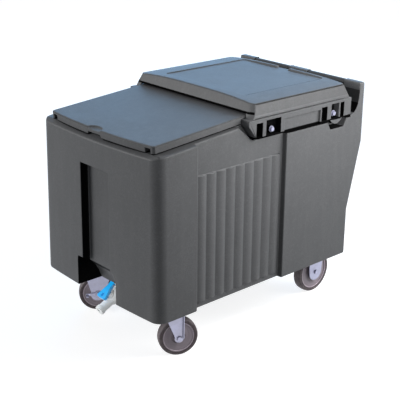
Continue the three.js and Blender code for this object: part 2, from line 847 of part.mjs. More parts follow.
// Drain shelf: a perforated plate on three sloping ribs that stand on the well floor
function drainShelf() {
  const rear = wellRear - shelfEndGap;
  const half = wellFootHalfWidth - shelfSideGap;
  const foot = shelfTopHeight - shelfThickness;
  const plan = roundedRectangle(shelfFront, rear, half, wellCornerRadius);
  let shelf = toSolid(prismUp(plan, foot, shelfTopHeight));
  const ribStart = wellFloorFront + shelfEndGap;
  const ribRear = rear - wellCornerRadius;
  const rib = outline([
    [ribStart, floorHeightAt(ribStart) + seatGap],
    [ribRear, floorHeightAt(ribRear) + seatGap],
    [ribRear, foot + shelfThickness / 2],
    [ribStart, foot + shelfThickness / 2],
  ]);
  for (let i = 0; i < shelfRibCount; i += 1) {
    const y = (i - (shelfRibCount - 1) / 2) * shelfRibSpacing;
    shelf = join(shelf, prismAcross(rib, y - shelfRibWidth / 2, y + shelfRibWidth / 2));
  }
  const stepX = (rear - shelfFront - 2 * shelfEdgeMargin) / shelfSlotColumns;
  const stepY = 2 * (half - shelfEdgeMargin) / shelfSlotRows;
  for (let i = 0; i < shelfSlotColumns; i += 1) {
    for (let j = 0; j < shelfSlotRows; j += 1) {
      const x = shelfFront + shelfEdgeMargin + stepX * (i + 1 / 2);
      const y = -half + shelfEdgeMargin + stepY * (j + 1 / 2);
      const reach = shelfSlotLength / 2;
      const wide = shelfSlotWidth / 2;
      const low = foot - shelfThickness;
      const high = shelfTopHeight + shelfThickness;
      shelf = cut(shelf, slab(x - reach, x + reach, y - wide, y + wide, low, high));
    }
  }
  return shelf;
}

// Front lid, drawn flat: it is then turned to the slope of its seat
function lidOutline() {
  const flatHalf = lidHalfWidth - lidCornerRadius;
  const frontAt = (y) => lidCornerFront - lidBow * (1 - (y / lidHalfWidth) ** 2);
  const points = [];
  for (let i = -curveSteps; i <= curveSteps; i += 1) {
    const y = -flatHalf * i / curveSteps;
    points.push([frontAt(y), y]);
  }
  const corner = frontAt(flatHalf);
  points.push([corner + lidCornerRadius, -lidHalfWidth]);
  points.push([lidRear, -lidHalfWidth]);
  points.push([lidRear, lidHalfWidth]);
  points.push([corner + lidCornerRadius, lidHalfWidth]);
  return outline(points);
}

function frontLid() {
  const foot = lidSeatGap;
  const top = lidSeatGap + lidThickness;
  const levels = [foot, top - lidBevel, top];
  const inset = [0, 0, lidBevel];
  const middle = (lidCornerFront + lidRear) / 2;
  const slabShape = stack(lidOutline(), levels, (x, y, level) => {
    const alongShare = (x - middle) / (lidRear - middle);
    return [x - inset[level] * alongShare, y * (1 - inset[level] / lidHalfWidth)];
  });
  const grooves = mirrored((side) => {
    const y0 = side * (railHalfSpacing - grooveWidth / 2);
    const y1 = side * (railHalfSpacing + grooveWidth / 2);
    return slab(-lidBow, lidRear + cutOverrun, y0, y1, foot - cutOverrun, foot + grooveDepth);
  });
  const dish = new THREE.SphereGeometry(1, smallSides, smallSides / 2);
  dish.scale(gripReach, gripHalfWidth, gripDepth);
  dish.translate(lidCornerFront - lidBow, gripOffset, top);
  const lipCut = outline([
    [gripOffset - lipCutHalfWidth, foot - cutOverrun],
    [gripOffset + lipCutHalfWidth, foot - cutOverrun],
    [gripOffset + lipCutTopHalfWidth, foot + lipCutHeight],
    [gripOffset - lipCutTopHalfWidth, foot + lipCutHeight],
  ]);
  const frontMost = lidCornerFront - lidBow;
  return cut(slabShape, grooves, dish, prismAlong(lipCut, frontMost - cutOverrun, frontMost + lipCutDepth));
}

// Hood cap: leaning walls under a crowned roof
function capOutline(inset) {
  const front = hoodFront + inset;
  const rear = hoodRear - inset;
  const half = hoodHalfWidth - inset;
  const shape = new THREE.Shape();
  shape.moveTo(front, -half + hoodFrontChamfer);
  shape.lineTo(front + hoodFrontChamfer / 2, -half);
  shape.absarc(rear - hoodRearRadius, -half + hoodRearRadius, hoodRearRadius, -0.5 * Math.PI, 0);
  shape.absarc(rear - hoodRearRadius, half - hoodRearRadius, hoodRearRadius, 0, 0.5 * Math.PI);
  shape.lineTo(front + hoodFrontChamfer / 2, half);
  shape.lineTo(front, half - hoodFrontChamfer);
  return shape;
}

function capBody(inset, foot, lower) {
  const top = hoodEdgeHeight + 2 * hoodCrown;
  const levels = [foot, top];
  const middle = (hoodFront + hoodRear) / 2;
  const leaning = stack(capOutline(inset), levels, (x, y, level) => {
    const lean = (levels[level] - hoodFlangeHeight) * hoodWallLean;
    return [x + (x < middle ? lean : -lean), y - Math.sign(y) * lean];
  });
  const half = hoodHalfWidth - (hoodEdgeHeight - hoodFlangeHeight) * hoodWallLean;
  const wide = half + 2 * cutOverrun;
  const arch = [[-wide, foot - cutOverrun], [wide, foot - cutOverrun]];
  const archSteps = 2 * curveSteps;
  for (let i = 0; i <= archSteps; i += 1) {
    const y = wide - 2 * wide * i / archSteps;
    arch.push([y, hoodEdgeHeight - lower + hoodCrown * (1 - Math.abs(y / half) ** 3)]);
  }
  return common(leaning, prismAlong(outline(arch), hoodFront - 2 * hoodCrown, hoodRear + 2 * hoodCrown));
}

// Underside of the bulge below the rear bolt pocket
function rearEarArc() {
  const centre = hoodFootHeight + rearEarRadius;
  const edge = Math.asin((centre - bandFootHeight) / rearEarRadius);
  const points = [];
  for (let i = 0; i <= curveSteps; i += 1) {
    const turn = Math.PI + edge + (Math.PI - 2 * edge) * i / curveSteps;
    points.push([rearEarMiddle + rearEarRadius * Math.cos(turn), centre + rearEarRadius * Math.sin(turn)]);
  }
  return points;
}

// Hood band: the deep sides with the flange nose, the ears and the bolt pockets
function bandSide() {
  const flangeFoot = hoodFlangeHeight - bandFlangeDepth;
  return outline([
    [bandNoseStart, flangeFoot],
    [bandEarStart, bandFootHeight],
    ...rearEarArc(),
    [bandRear, bandFootHeight],
    [bandRear, hoodFlangeHeight],
    [bandNoseStart, hoodFlangeHeight],
  ]);
}

function hoodCuts(side) {
  const floor = side * pocketFloor;
  const out = side * (bandHalfWidth + cutOverrun);
  const low = bandFootHeight + pocketFootLip;
  const frontSlotEnd = frontPocketStart - slotRibWidth;
  const rearSlotEnd = rearPocketStart - slotRibWidth;
  const panelFloor = side * (bandHalfWidth - sidePanelDepth);
  const panelLow = bandFootHeight - cutOverrun;
  return join(
    slab(frontPocketStart, frontPocketEnd, floor, out, low, pocketTopHeight),
    slab(rearPocketStart + pocketFootLip, earRibStart, floor, out, low, pocketTopHeight),
    slab(earRibStart + earRibWidth, rearPocketEnd, floor, out, low, pocketTopHeight),
    slab(frontSlotEnd - slotLength, frontSlotEnd, floor, out, low, slotTopHeight),
    slab(rearSlotEnd - slotLength, rearSlotEnd, floor, out, low, slotTopHeight),
    slab(sidePanelStart, sidePanelEnd, panelFloor, out, panelLow, sidePanelTopHeight),
  );
}

function rearHood() {
  const foot = hoodFlangeHeight - bandFlangeDepth;
  const sides = mirrored((side) => prismAcross(bandSide(), side * hoodInnerHalfWidth, side * bandHalfWidth));
  const rearFoot = rearRimHeight + seatGap;
  const rearFront = bandRear - bandRearWall;
  const wallHalf = hoodInnerHalfWidth + bandRoot;
  const rearWall = slab(rearFront, bandRear, -wallHalf, wallHalf, rearFoot, hoodFlangeHeight);
  const wide = footHalfWidth;
  const space = common(
    capBody(hoodWall, foot - cutOverrun, hoodRoof),
    slab(0, binLength, -wide, wide, 0, hoodRoofFlatHeight),
  );
  const inner = hoodInnerHalfWidth;
  const keepBand = slab(0, bandRear, -inner, inner, 0, hoodFlangeHeight);
  const spaceLow = common(space, keepBand);
  const spaceHigh = common(space, slab(0, binLength, -wide, wide, hoodFlangeHeight, skinTopHeight));
  let hood = cut(capBody(0, foot, 0), spaceLow, spaceHigh);
  hood = join(hood, sides, cut(rearWall, spaceLow));
  const mouth = slab(0, hoodFront + 2 * hoodFrontChamfer, -inner, inner, 0, hoodMouthHeight);
  const trayTop = skinTopHeight + cutOverrun;
  const trayCentre = roundedRectangle(trayFront, trayRear, trayHalfWidth, trayCornerRadius);
  const tray = prismUp(trayCentre, trayHeight, trayTop);
  const outWide = channelOutHalfWidth;
  const out = slab(trayRear - cutOverrun, bandRear, -outWide, outWide, trayHeight, trayTop);
  hood = cut(hood, mouth, tray, out, hoodCuts(1), hoodCuts(-1));
  for (const [x, side] of hoodBoltPlaces()) {
    const boss = rodAcross(pocketBossRadius, side * (pocketFloor - seatGap), side * pocketBossFace);
    hood = join(hood, boss.translate(x, 0, hoodBoltHeight));
    const bore = rodAcross(boltRadius + boltClearance, side * (inner - cutOverrun), side * bandHalfWidth);
    hood = cut(hood, bore.translate(x, 0, hoodBoltHeight));
  }
  return hood;
}

function hoodBolt(side) {
  const headFoot = pocketBossFace + washerThickness + 2 * seatGap;
  const head = rodAcross(boltHeadRadius, side * headFoot, side * (headFoot + boltHeadHeight), hexSides);
  const tail = pocketFloor - hoodBoltReach;
  const shank = rodAcross(boltRadius, side * tail, side * (headFoot + boltHeadHeight / 2));
  return join(head, shank);
}

function hoodWasher(side) {
  const foot = pocketBossFace + seatGap;
  const bore = rodAcross(boltRadius + boltClearance, 0, side * bandHalfWidth);
  return cut(rodAcross(washerRadius, side * foot, side * (foot + washerThickness)), bore);
}

function hoodInsert(side) {
  const bore = rodAcross(boltRadius + boltClearance, 0, side * bandHalfWidth);
  const foot = upstandHalfWidth - insertLength;
  return cut(rodAcross(insertRadius, side * foot, side * upstandHalfWidth), bore);
}

function hoodFastening([x, side]) {
  const name = `${x === frontBoltX ? 'front' : 'rear'}_${side < 0 ? 'left' : 'right'}`;
  const place = new THREE.Group();
  place.position.set(x, 0, hoodBoltHeight);
  place.add(meshOf(`hood_bolt_${name}`, hoodBolt(side), zincSteel));
  place.add(meshOf(`hood_washer_${name}`, hoodWasher(side), zincSteel));
  place.add(meshOf(`hood_insert_${name}`, hoodInsert(side), brass));
  return place;
}

// Faucet, drawn along its own axis: X runs out of the bin and Z away from the floor
function turned(points, sides) {
  const profile = points.map(([along, radius]) => new THREE.Vector2(radius, along));
  return new THREE.LatheGeometry(profile, sides).rotateZ(-Math.PI / 2);
}

function faucetBody() {
  const face = gasketThickness + 2 * seatGap;
  const tip = faucetLength;
  const neck = barrelLength + coneLength;
  const shankEnd = -drainWall - shankReach;
  const solid = turned([
    [shankEnd, 0],
    [shankEnd, shankRadius],
    [face, shankRadius],
    [face, barrelRadius],
    [barrelLength, barrelRadius],
    [neck, coneTipRadius],
    [neck, nozzleRadius],
    [tip - nozzleLipLength, nozzleRadius],
    [tip - nozzleLipLength, nozzleLipRadius],
    [tip, nozzleLipRadius],
    [tip, 0],
  ], roundSides);
  const tower = rodUp(towerRadius, 0, towerHeight, smallSides).translate(towerPlace, 0, 0);
  const lugShape = new THREE.Shape();
  lugShape.moveTo(leverPivotPlace - leverLugRadius, 0);
  lugShape.lineTo(leverPivotPlace + leverLugRadius, 0);
  lugShape.absarc(leverPivotPlace, leverPivotHeight, leverLugRadius, 0, Math.PI);
  const lug = prismAcross(lugShape, -leverLugHalfWidth, leverLugHalfWidth);
  const inlet = rodAlong(shankBoreRadius, shankEnd - cutOverrun, tip - outletDepth + cutOverrun);
  const outlet = rodAlong(outletRadius, tip - outletDepth, tip + cutOverrun);
  const chamberFoot = -plungerRadius - seatGap;
  const chamber = rodUp(towerBoreRadius, chamberFoot, towerHeight + cutOverrun).translate(towerPlace, 0, 0);
  const pinReach = leverLugHalfWidth + cutOverrun;
  const pinBore = rodAcross(leverPinRadius + seatGap, -pinReach, pinReach);
  pinBore.translate(leverPivotPlace, 0, leverPivotHeight);
  return cut(join(solid, tower, lug), inlet, outlet, chamber, pinBore);
}

function bonnet() {
  const foot = towerHeight + seatGap;
  const disc = rodUp(towerRadius, foot, foot + bonnetHeight, smallSides);
  const bore = rodUp(stemRadius + seatGap, foot - cutOverrun, foot + bonnetHeight + cutOverrun);
  return cut(disc, bore).translate([towerPlace, 0, 0]);
}

function stem() {
  const plunger = rodUp(plungerRadius, -plungerRadius, plungerHeight - plungerRadius);
  return join(plunger, rodUp(stemRadius, 0, stemTopHeight)).translate([towerPlace, 0, 0]);
}

// Lever: a paddle that widens to a holed tip, and straddles the lug at its root
function lever() {
  const cornerX = leverReach - leverTipRadius;
  const cornerY = leverTipHalfWidth - leverTipRadius;
  const plan = new THREE.Shape();
  plan.moveTo(-leverTail, -leverRootHalfWidth);
  plan.lineTo(leverTail, -leverRootHalfWidth);
  plan.lineTo(cornerX, -leverTipHalfWidth);
  plan.absarc(cornerX, -cornerY, leverTipRadius, -0.5 * Math.PI, 0);
  plan.absarc(cornerX, cornerY, leverTipRadius, 0, 0.5 * Math.PI);
  plan.lineTo(leverTail, leverRootHalfWidth);
  plan.lineTo(-leverTail, leverRootHalfWidth);
  const foot = -leverUnderside;
  const paddle = prismUp(plan, foot, foot + leverThickness);
  const slotHalf = leverLugHalfWidth + seatGap;
  const slotStart = -leverTail - cutOverrun;
  const slot = slab(slotStart, leverTail, -slotHalf, slotHalf, foot - cutOverrun, leverSlotHeight);
  const hole = rodUp(leverHoleRadius, foot - cutOverrun, foot + leverThickness + cutOverrun);
  const bore = rodAcross(leverPinRadius + seatGap, -leverTipHalfWidth, leverTipHalfWidth);
  const part = cut(paddle, hole.translate(leverHolePlace, 0, 0), slot, bore);
  return part.rotate([0, leverTiltDegrees, 0]).translate([leverPivotPlace, 0, leverPivotHeight]);
}

function leverPin() {
  const pin = rodAcross(leverPinRadius, -leverRootHalfWidth, leverRootHalfWidth);
  return pin.translate(leverPivotPlace, 0, leverPivotHeight);
}

function gasket() {
  const ring = rodAlong(gasketRadius, seatGap, seatGap + gasketThickness, roundSides);
  return cut(ring, rodAlong(shankRadius + seatGap, -cutOverrun, cutOverrun, roundSides));
}

function innerWasher() {
  const start = -drainWall - seatGap;
  const ring = rodAlong(innerWasherRadius, start - innerWasherThickness, start);
  return cut(ring, rodAlong(shankRadius + seatGap, start - cutOverrun, start + cutOverrun, roundSides));
}

function locknut() {
  const start = -drainWall - innerWasherThickness - 2 * seatGap;
  const end = start - locknutThickness;
  const nut = rodAlong(locknutRadius, end, start, hexSides);
  return cut(nut, rodAlong(shankRadius + seatGap, end - cutOverrun, start + cutOverrun, roundSides));
}

// Caster pieces, drawn about the wheel's own swivel or plate centre
function tyre(size) {
  return ring([
    [size.tyreInner, -coreHalfWidth],
    [size.tyreInner, coreHalfWidth],
    [(size.tyreInner + size.radius) / 2, tyreHalfWidth],
    [size.radius - tyreShoulder, (tyreHalfWidth + tyreTreadHalfWidth + tyreShoulder) / 2],
    [size.radius, tyreTreadHalfWidth],
    [size.radius, -tyreTreadHalfWidth],
    [size.radius - tyreShoulder, -(tyreHalfWidth + tyreTreadHalfWidth + tyreShoulder) / 2],
    [(size.tyreInner + size.radius) / 2, -tyreHalfWidth],
  ], tyreSides);
}

function wheelCore(size) {
  const rim = size.tyreInner - seatGap;
  return ring([
    [hubBoreRadius, -hubHalfWidth],
    [hubBoreRadius, hubHalfWidth],
    [hubRadius, hubHalfWidth],
    [hubFootRadius, coreWebHalfWidth],
    [size.dish, coreWebHalfWidth],
    [size.rim, coreHalfWidth],
    [rim, coreHalfWidth],
    [rim, -coreHalfWidth],
    [size.rim, -coreHalfWidth],
    [size.dish, -coreWebHalfWidth],
    [hubFootRadius, -coreWebHalfWidth],
    [hubRadius, -hubHalfWidth],
  ], coreSides);
}

function ring(points, sides) {
  const closed = [...points, points[0]];
  return new THREE.LatheGeometry(closed.map(([r, h]) => new THREE.Vector2(r, h)), sides);
}

function hubSleeve() {
  const reach = legInner - seatGap;
  const hollow = rodAcross(boltRadius + seatGap, -reach - cutOverrun, reach + cutOverrun);
  return cut(rodAcross(sleeveRadius, -reach, reach), hollow);
}

function axleBolt(extra) {
  const near = legInner + legThickness + seatGap + extra;
  const far = legInner + legThickness + 2 * seatGap + axleNutThickness + axleTail;
  const head = rodAcross(boltHeadRadius, -near, -near - boltHeadHeight, hexSides);
  return join(head, rodAcross(boltRadius, -near - boltHeadHeight / 2, far));
}

function axleNut() {
  const near = legInner + legThickness + seatGap;
  const nut = rodAcross(boltHeadRadius, near, near + axleNutThickness, hexSides);
  return cut(nut, rodAcross(boltRadius + seatGap, 0, near + 2 * axleNutThickness));
}

function legBore() {
  const reach = legInner + legThickness + cutOverrun;
  return rodAcross(boltRadius + seatGap, -reach, reach);
}

function forkLegs(shape) {
  return mirrored((side) => prismAcross(shape, side * legInner, side * (legInner + legThickness)));
}

// Leg with a straight rear edge
function plainLeg(rear, crownTop) {
  const leg = new THREE.Shape();
  leg.moveTo(rear, crownTop);
  leg.lineTo(crownLegFront, crownTop);
  leg.absarc(trail, frontWheel.radius, legEndRadius, legArcStart * Math.PI, 2 * Math.PI);
  return leg;
}

// Leg with a wide rounded shoulder over the brake
function brakedLeg(rear, crownTop) {
  const leg = new THREE.Shape();
  leg.moveTo(rear - brakedShoulderRadius, crownTop);
  leg.lineTo(crownLegFront, crownTop);
  leg.absarc(trail, frontWheel.radius, brakedEndRadius, legArcStart * Math.PI, 2 * Math.PI);
  leg.lineTo(rear, crownTop - brakedShoulderRadius);
  const round = brakedShoulderRadius;
  leg.absarc(rear - round, crownTop - round, round, 0, Math.PI / 2);
  return leg;
}

// Swivel fork: crown and bearing cup over the swivel axis, legs that reach back by the trail
function swivelFork(braked) {
  const crownTop = crownHeight + crownThickness;
  const rear = trail + (braked ? brakedShoulderReach : legEndRadius);
  const legs = forkLegs(braked ? brakedLeg(rear, crownTop) : plainLeg(rear, crownTop));
  const outer = legInner + legThickness;
  const flanges = mirrored((side) => {
    const edge = side * (outer + legFlangeWidth);
    return slab(rear - legThickness, rear, side * legInner, edge, frontWheel.radius, crownTop);
  });
  const tongue = slab(0, rear - brakedShoulderRadius, -outer, outer, crownHeight, crownTop);
  const crown = join(rodUp(crownRadius, crownHeight, crownTop, roundSides), tongue);
  const cup = rodUp(cupRadius, crownTop, crownTop + cupHeight, roundSides);
  const cupTop = crownTop + cupHeight;
  const pinBore = rodUp(kingpinRadius + runningGap, crownHeight - cutOverrun, cupTop + cutOverrun);
  const axleBore = legBore().translate(trail, 0, frontWheel.radius);
  const shell = braked ? join(crown, cup, legs) : join(crown, cup, legs, flanges);
  return cut(shell, pinBore, axleBore);
}

// Top plate with its four screws driven home, so plate and screws are one piece here
function screwedPlate() {
  const top = footHeight - seatGap;
  const foot = top - plateThickness;
  const plate = slab(-plateLength / 2, plateLength / 2, -plateWidth / 2, plateWidth / 2, foot, top);
  const screws = plateBoltPlaces(0, 0).map(([x, y]) => {
    const head = rodUp(boltHeadRadius, foot - plateBoltHeadHeight, foot + plateThickness / 2, hexSides);
    const shank = rodUp(boltRadius, foot, footHeight + plateBoltReach, smallSides / 2);
    return join(head, shank).translate([x, y, 0]);
  });
  return join(plate, ...screws);
}

function swivelPlate() {
  const low = footHeight - plateThickness - cutOverrun;
  const bore = rodUp(kingpinRadius + seatGap, low, footHeight + cutOverrun);
  return cut(screwedPlate(), bore);
}

function upperRace() {
  const foot = crownHeight + crownThickness + cupHeight + runningGap;
  const top = footHeight - plateThickness - 2 * seatGap;
  const body = rodUp(raceRadius, foot, top, roundSides);
  const waist = cut(
    rodUp(raceRadius + cutOverrun, foot + raceGrooveDepth, top - raceGrooveDepth, roundSides),
    rodUp(raceRadius - raceGrooveDepth, foot, top, roundSides),
  );
  return cut(body, waist, rodUp(kingpinRadius + seatGap, foot - cutOverrun, top + cutOverrun));
}

function kingpin() {
  const headTop = crownHeight - runningGap;
  const head = rodUp(kingpinHeadRadius, headTop - kingpinHeadHeight, headTop);
  return join(head, rodUp(kingpinRadius, headTop - kingpinHeadHeight / 2, footHeight - seatGap));
}

// Rigid fork: plate and legs pressed from one sheet
function rigidFork() {
  const foot = footHeight - seatGap - plateThickness;
  const leg = new THREE.Shape();
  leg.moveTo(rigidLegHalfLength, foot + plateThickness / 2);
  leg.lineTo(-rigidLegHalfLength, foot + plateThickness / 2);
  leg.lineTo(-rigidLegWaist, rigidWaistHeight);
  leg.absarc(0, rearWheel.radius, rigidEndRadius, Math.PI, 2 * Math.PI);
  leg.lineTo(rigidLegWaist, rigidWaistHeight);
  return cut(join(screwedPlate(), forkLegs(leg)), legBore().translate(0, 0, rearWheel.radius));
}

// Brake lever: a plate on the axle outside one leg, with a foot tab at its end
function brakeLever() {
  const inner = legInner + legThickness + seatGap;
  const outer = inner + brakeThickness;
  const hub = rodAcross(brakeHubRadius, -inner, -outer);
  const arm = slab(-brakeReach, 0, -outer, -inner, -brakeArmHalfHeight, brakeArmHalfHeight);
  const tabTop = -brakeArmHalfHeight + brakeThickness;
  const tabEnd = brakeTabLength - brakeReach;
  const tab = slab(-brakeReach, tabEnd, -inner - brakeTabWidth, -inner, -brakeArmHalfHeight, tabTop);
  return cut(join(hub, arm, tab), rodAcross(boltRadius + seatGap, 0, -outer - cutOverrun));
}

function wheelMeshes(prefix, x, size) {
  const wheel = new THREE.Group();
  wheel.position.set(x, 0, size.radius);
  wheel.add(meshOf(`${prefix}_tyre`, tyre(size), treadRubber));
  wheel.add(meshOf(`${prefix}_wheel_core`, wheelCore(size), wheelPlastic));
  return wheel;
}

function axleMeshes(prefix, x, extra, size) {
  const axle = new THREE.Group();
  axle.position.set(x, 0, size.radius);
  axle.add(meshOf(`${prefix}_hub_sleeve`, hubSleeve(), zincSteel));
  axle.add(meshOf(`${prefix}_axle_bolt`, axleBolt(extra), zincSteel));
  axle.add(meshOf(`${prefix}_axle_nut`, axleNut(), zincSteel));
  return axle;
}

function swivelCaster(prefix, y, degrees, braked) {
  const caster = new THREE.Group();
  caster.position.set(swivelX, y, 0);
  caster.add(meshOf(`${prefix}_plate`, swivelPlate(), zincSteel));
  caster.add(meshOf(`${prefix}_ball_race`, upperRace(), zincSteel));
  caster.add(meshOf(`${prefix}_kingpin`, kingpin(), zincSteel));
  const turning = new THREE.Group();
  turning.rotation.z = THREE.MathUtils.degToRad(degrees);
  turning.add(meshOf(`${prefix}_fork`, swivelFork(braked), zincSteel));
  const extra = braked ? brakeThickness + seatGap : 0;
  turning.add(axleMeshes(prefix, trail, extra, frontWheel));
  turning.add(wheelMeshes(prefix, trail, frontWheel));
  if (braked) {
    const brake = meshOf(`${prefix}_brake_lever`, brakeLever(), zincSteel);
    brake.position.set(trail, 0, frontWheel.radius);
    turning.add(brake);
  }
  caster.add(turning);
  return caster;
}

function rigidCaster(prefix, y) {
  const caster = new THREE.Group();
  caster.position.set(rigidX, y, 0);
  caster.add(meshOf(`${prefix}_fork`, rigidFork(), zincSteel));
  caster.add(axleMeshes(prefix, 0, 0, rearWheel));
  caster.add(wheelMeshes(prefix, 0, rearWheel));
  return caster;
}

function faucet() {
  const base = new THREE.Group();
  base.position.set(drainFaceX, 0, drainFaceHeight);
  base.rotation.z = Math.PI;
  const axis = new THREE.Group();
  axis.rotation.y = drainAngle;
  axis.add(meshOf('faucet_gasket', gasket(), blackRubber));
  axis.add(meshOf('faucet_body', faucetBody(), whitePlastic));
  axis.add(meshOf('faucet_bonnet', bonnet(), whitePlastic));
  axis.add(meshOf('faucet_plunger', stem(), whitePlastic));
  axis.add(meshOf('faucet_lever', lever(), bluePlastic));
  axis.add(meshOf('faucet_lever_pin', leverPin(), zincSteel));
  axis.add(meshOf('faucet_inner_washer', innerWasher(), blackRubber));
  axis.add(meshOf('faucet_locknut', locknut(), whitePlastic));
  base.add(axis);
  return base;
}

function slidingLid() {
  const slope = new THREE.Group();
  slope.position.set(0, 0, seatHeightAt(0));
  slope.rotation.y = -seatAngle;
  slope.add(meshOf('front_lid', frontLid(), charcoalPlastic));
  return slope;
}

const bin = new THREE.Group();
bin.position.x = -binLength / 2;
bin.add(meshOf('bin_body', binBody(), charcoalPlastic));
bin.add(meshOf('foam_core', foamCore(0), foam));
bin.add(meshOf('fill_plug', fillPlug(), charcoalPlastic));
bin.add(meshOf('handle_bar', handleBar(), charcoalPlastic));
bin.add(meshOf('drain_shelf', drainShelf(), shelfPlastic));
bin.add(slidingLid());
bin.add(meshOf('rear_hood', rearHood(), charcoalPlastic));
bin.add(...hoodBoltPlaces().map(hoodFastening));
bin.add(faucet());
bin.add(swivelCaster('front_left', -swivelY, nearSwivelDegrees, false));
bin.add(swivelCaster('front_right', swivelY, farSwivelDegrees, true));
bin.add(rigidCaster('rear_left', -rigidY));
bin.add(rigidCaster('rear_right', rigidY));

const mobileIceBin = new THREE.Group();
mobileIceBin.add(bin);

export default mobileIceBin;
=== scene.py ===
"""Mobile ice bin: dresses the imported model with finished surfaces, modelled hardware and a studio."""

import json
import math

import bmesh
import bpy
from bpy.props import FloatProperty, FloatVectorProperty, IntProperty, PointerProperty
from mathutils import Matrix, Vector


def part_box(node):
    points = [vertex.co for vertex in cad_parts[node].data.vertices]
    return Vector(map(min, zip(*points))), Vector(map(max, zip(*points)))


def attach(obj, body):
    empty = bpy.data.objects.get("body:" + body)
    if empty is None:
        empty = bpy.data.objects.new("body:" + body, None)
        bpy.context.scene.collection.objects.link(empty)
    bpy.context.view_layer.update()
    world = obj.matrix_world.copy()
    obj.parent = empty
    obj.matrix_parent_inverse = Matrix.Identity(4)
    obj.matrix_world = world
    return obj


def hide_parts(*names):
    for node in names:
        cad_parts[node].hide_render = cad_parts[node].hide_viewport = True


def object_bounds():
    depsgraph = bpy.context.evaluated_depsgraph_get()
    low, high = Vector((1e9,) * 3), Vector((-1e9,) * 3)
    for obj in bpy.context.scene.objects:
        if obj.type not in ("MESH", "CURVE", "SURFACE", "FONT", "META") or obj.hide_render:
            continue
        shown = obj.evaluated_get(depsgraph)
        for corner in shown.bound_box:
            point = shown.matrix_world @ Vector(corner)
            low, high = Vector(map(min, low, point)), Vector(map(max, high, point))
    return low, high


bl_info = {
    "name": "Mobile Ice Bin",
    "version": (1, 0, 0),
    "blender": (4, 5, 0),
    "location": "View3D > Sidebar > Ice Bin",
    "description": "Builds the finished look of an insulated ice bin on casters",
    "category": "Object",
}

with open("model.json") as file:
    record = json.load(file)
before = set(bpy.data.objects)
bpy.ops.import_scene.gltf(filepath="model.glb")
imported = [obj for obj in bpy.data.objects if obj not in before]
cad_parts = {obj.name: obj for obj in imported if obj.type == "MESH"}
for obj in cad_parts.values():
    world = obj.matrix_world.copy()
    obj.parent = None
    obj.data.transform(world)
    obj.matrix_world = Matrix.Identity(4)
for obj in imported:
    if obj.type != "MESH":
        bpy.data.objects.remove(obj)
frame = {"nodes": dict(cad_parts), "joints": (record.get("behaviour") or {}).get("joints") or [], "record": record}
CAD_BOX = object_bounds()

MM = 0.001
CORNERS = ("front_left", "front_right", "rear_left", "rear_right")
BODY = {node: body for body, nodes in frame["record"]["behaviour"]["bodies"].items() for node in nodes}
SLOT = {part["node"]: part["material_slot"] for part in frame["record"]["subparts"]}
JOINT = {joint["name"]: joint for joint in frame["joints"]}
UP = Vector((0, 0, 1))
PAINTED_SHADE = "recess"
PAINTED_HIGHLIGHT = "rubbed"
HOOD_BAND_FOOT = 0.664
HOOD_MOUTH_TOP = 0.7415
POST_BLOCK_FOOT = 0.744
POST_SHADE_TOP = 0.702
# Painted shade in creases: how far the occlusion test looks, its samples, and how dark the painted shade gets
CREASE_REACH = 8 * MM
CREASE_SAMPLES = 6
CREASE_SHADE_DEPTH = 0.85
FACING_LIMIT = 0.6
STEEP_LIMIT = 0.6

# Where the tub's kinds of edge lie
OUTSIDE_REACH = 0.262
FRONT_DEPTH = 0.030
UPRIGHT_RISE = 0.05
FLAT_RISE = 0.02
FOOT_HEIGHT = 0.165
FOOT_SLACK = 0.003
LOW_START = 0.2
RIM_FOOT = 0.655
RIB_START = -0.295
RIB_END = 0.075
RIB_TOP = 0.60
SCOOP_FRONT = -0.43
SCOOP_ARCH_FOOT = 0.20
SCOOP_ARCH_TOP = 0.28
HOOD_ROOF_FOOT = 0.764
HOOD_ROOF_TURN = 0.5

# Fastenings and pressed parts
BOLT_HEAD_HEIGHT = 5.3 * MM
BOLT_OVERLAP = 0.5 * MM
HEX_EDGE = 0.9 * MM
COLLAR = 0.4 * MM
PRESSED_EDGE = 0.6 * MM

# The floor is darker to the light it gives back than to the camera
WHITE = (1.0, 1.0, 1.0)
FLOOR_BOUNCE = 0.20
FLOOR_PAINT = 0.45
FLOOR_GLOW = 0.80

DRAIN_END = (-1, 0, 0)
UPWARDS = (0, 0, 1)
DOWN = (0, 0, -1)
CAMERA_SIDE = (0, -1, 0)
FAR_SIDE = (0, 1, 0)

# Boxes of painted shade in recesses and on faces away from the light: low corner, high corner, on both sides, the
# way the faces look, and how dark
TUB_PAINTED_SHADE = (
    ((-0.470, 0.060, 0.262), (-0.424, 0.072, 0.600), False, CAMERA_SIDE, 0.96),
    ((-0.470, -0.072, 0.262), (-0.424, -0.060, 0.600), False, FAR_SIDE, 0.55),
    ((-0.470, -0.072, 0.580), (-0.424, 0.072, 0.600), False, DOWN, 0.9),
    ((-0.470, 0.080, 0.150), (-0.340, 0.100, 0.275), False, CAMERA_SIDE, 0.98),
    ((-0.470, 0.000, 0.150), (-0.340, 0.100, 0.275), False, DOWN, 0.95),
    ((-0.470, -0.072, 0.150), (-0.340, 0.000, 0.275), False, DOWN, 0.6),
    ((-0.400, 0.030, 0.150), (-0.340, 0.100, 0.275), False, DRAIN_END, 0.85),
    ((-0.065, 0.240, 0.655), (0.390, 0.290, 0.664), True, UPWARDS, 0.97),
    ((0.070, 0.262, 0.200), (0.082, 0.292, 0.700), True, DRAIN_END, 0.35),
    ((0.380, 0.200, 0.662), (0.445, 0.285, 0.702), True, DRAIN_END, 0.99),
    ((0.380, 0.000, 0.662), (0.445, 0.050, 0.702), True, DRAIN_END, 0.99),
    ((0.380, 0.200, 0.702), (0.445, 0.285, 0.744), True, DRAIN_END, 0.66),
    ((0.380, 0.000, 0.702), (0.445, 0.050, 0.744), True, DRAIN_END, 0.66),
    ((0.270, 0.240, 0.630), (0.395, 0.290, 0.658), True, UPWARDS, 0.95),
)
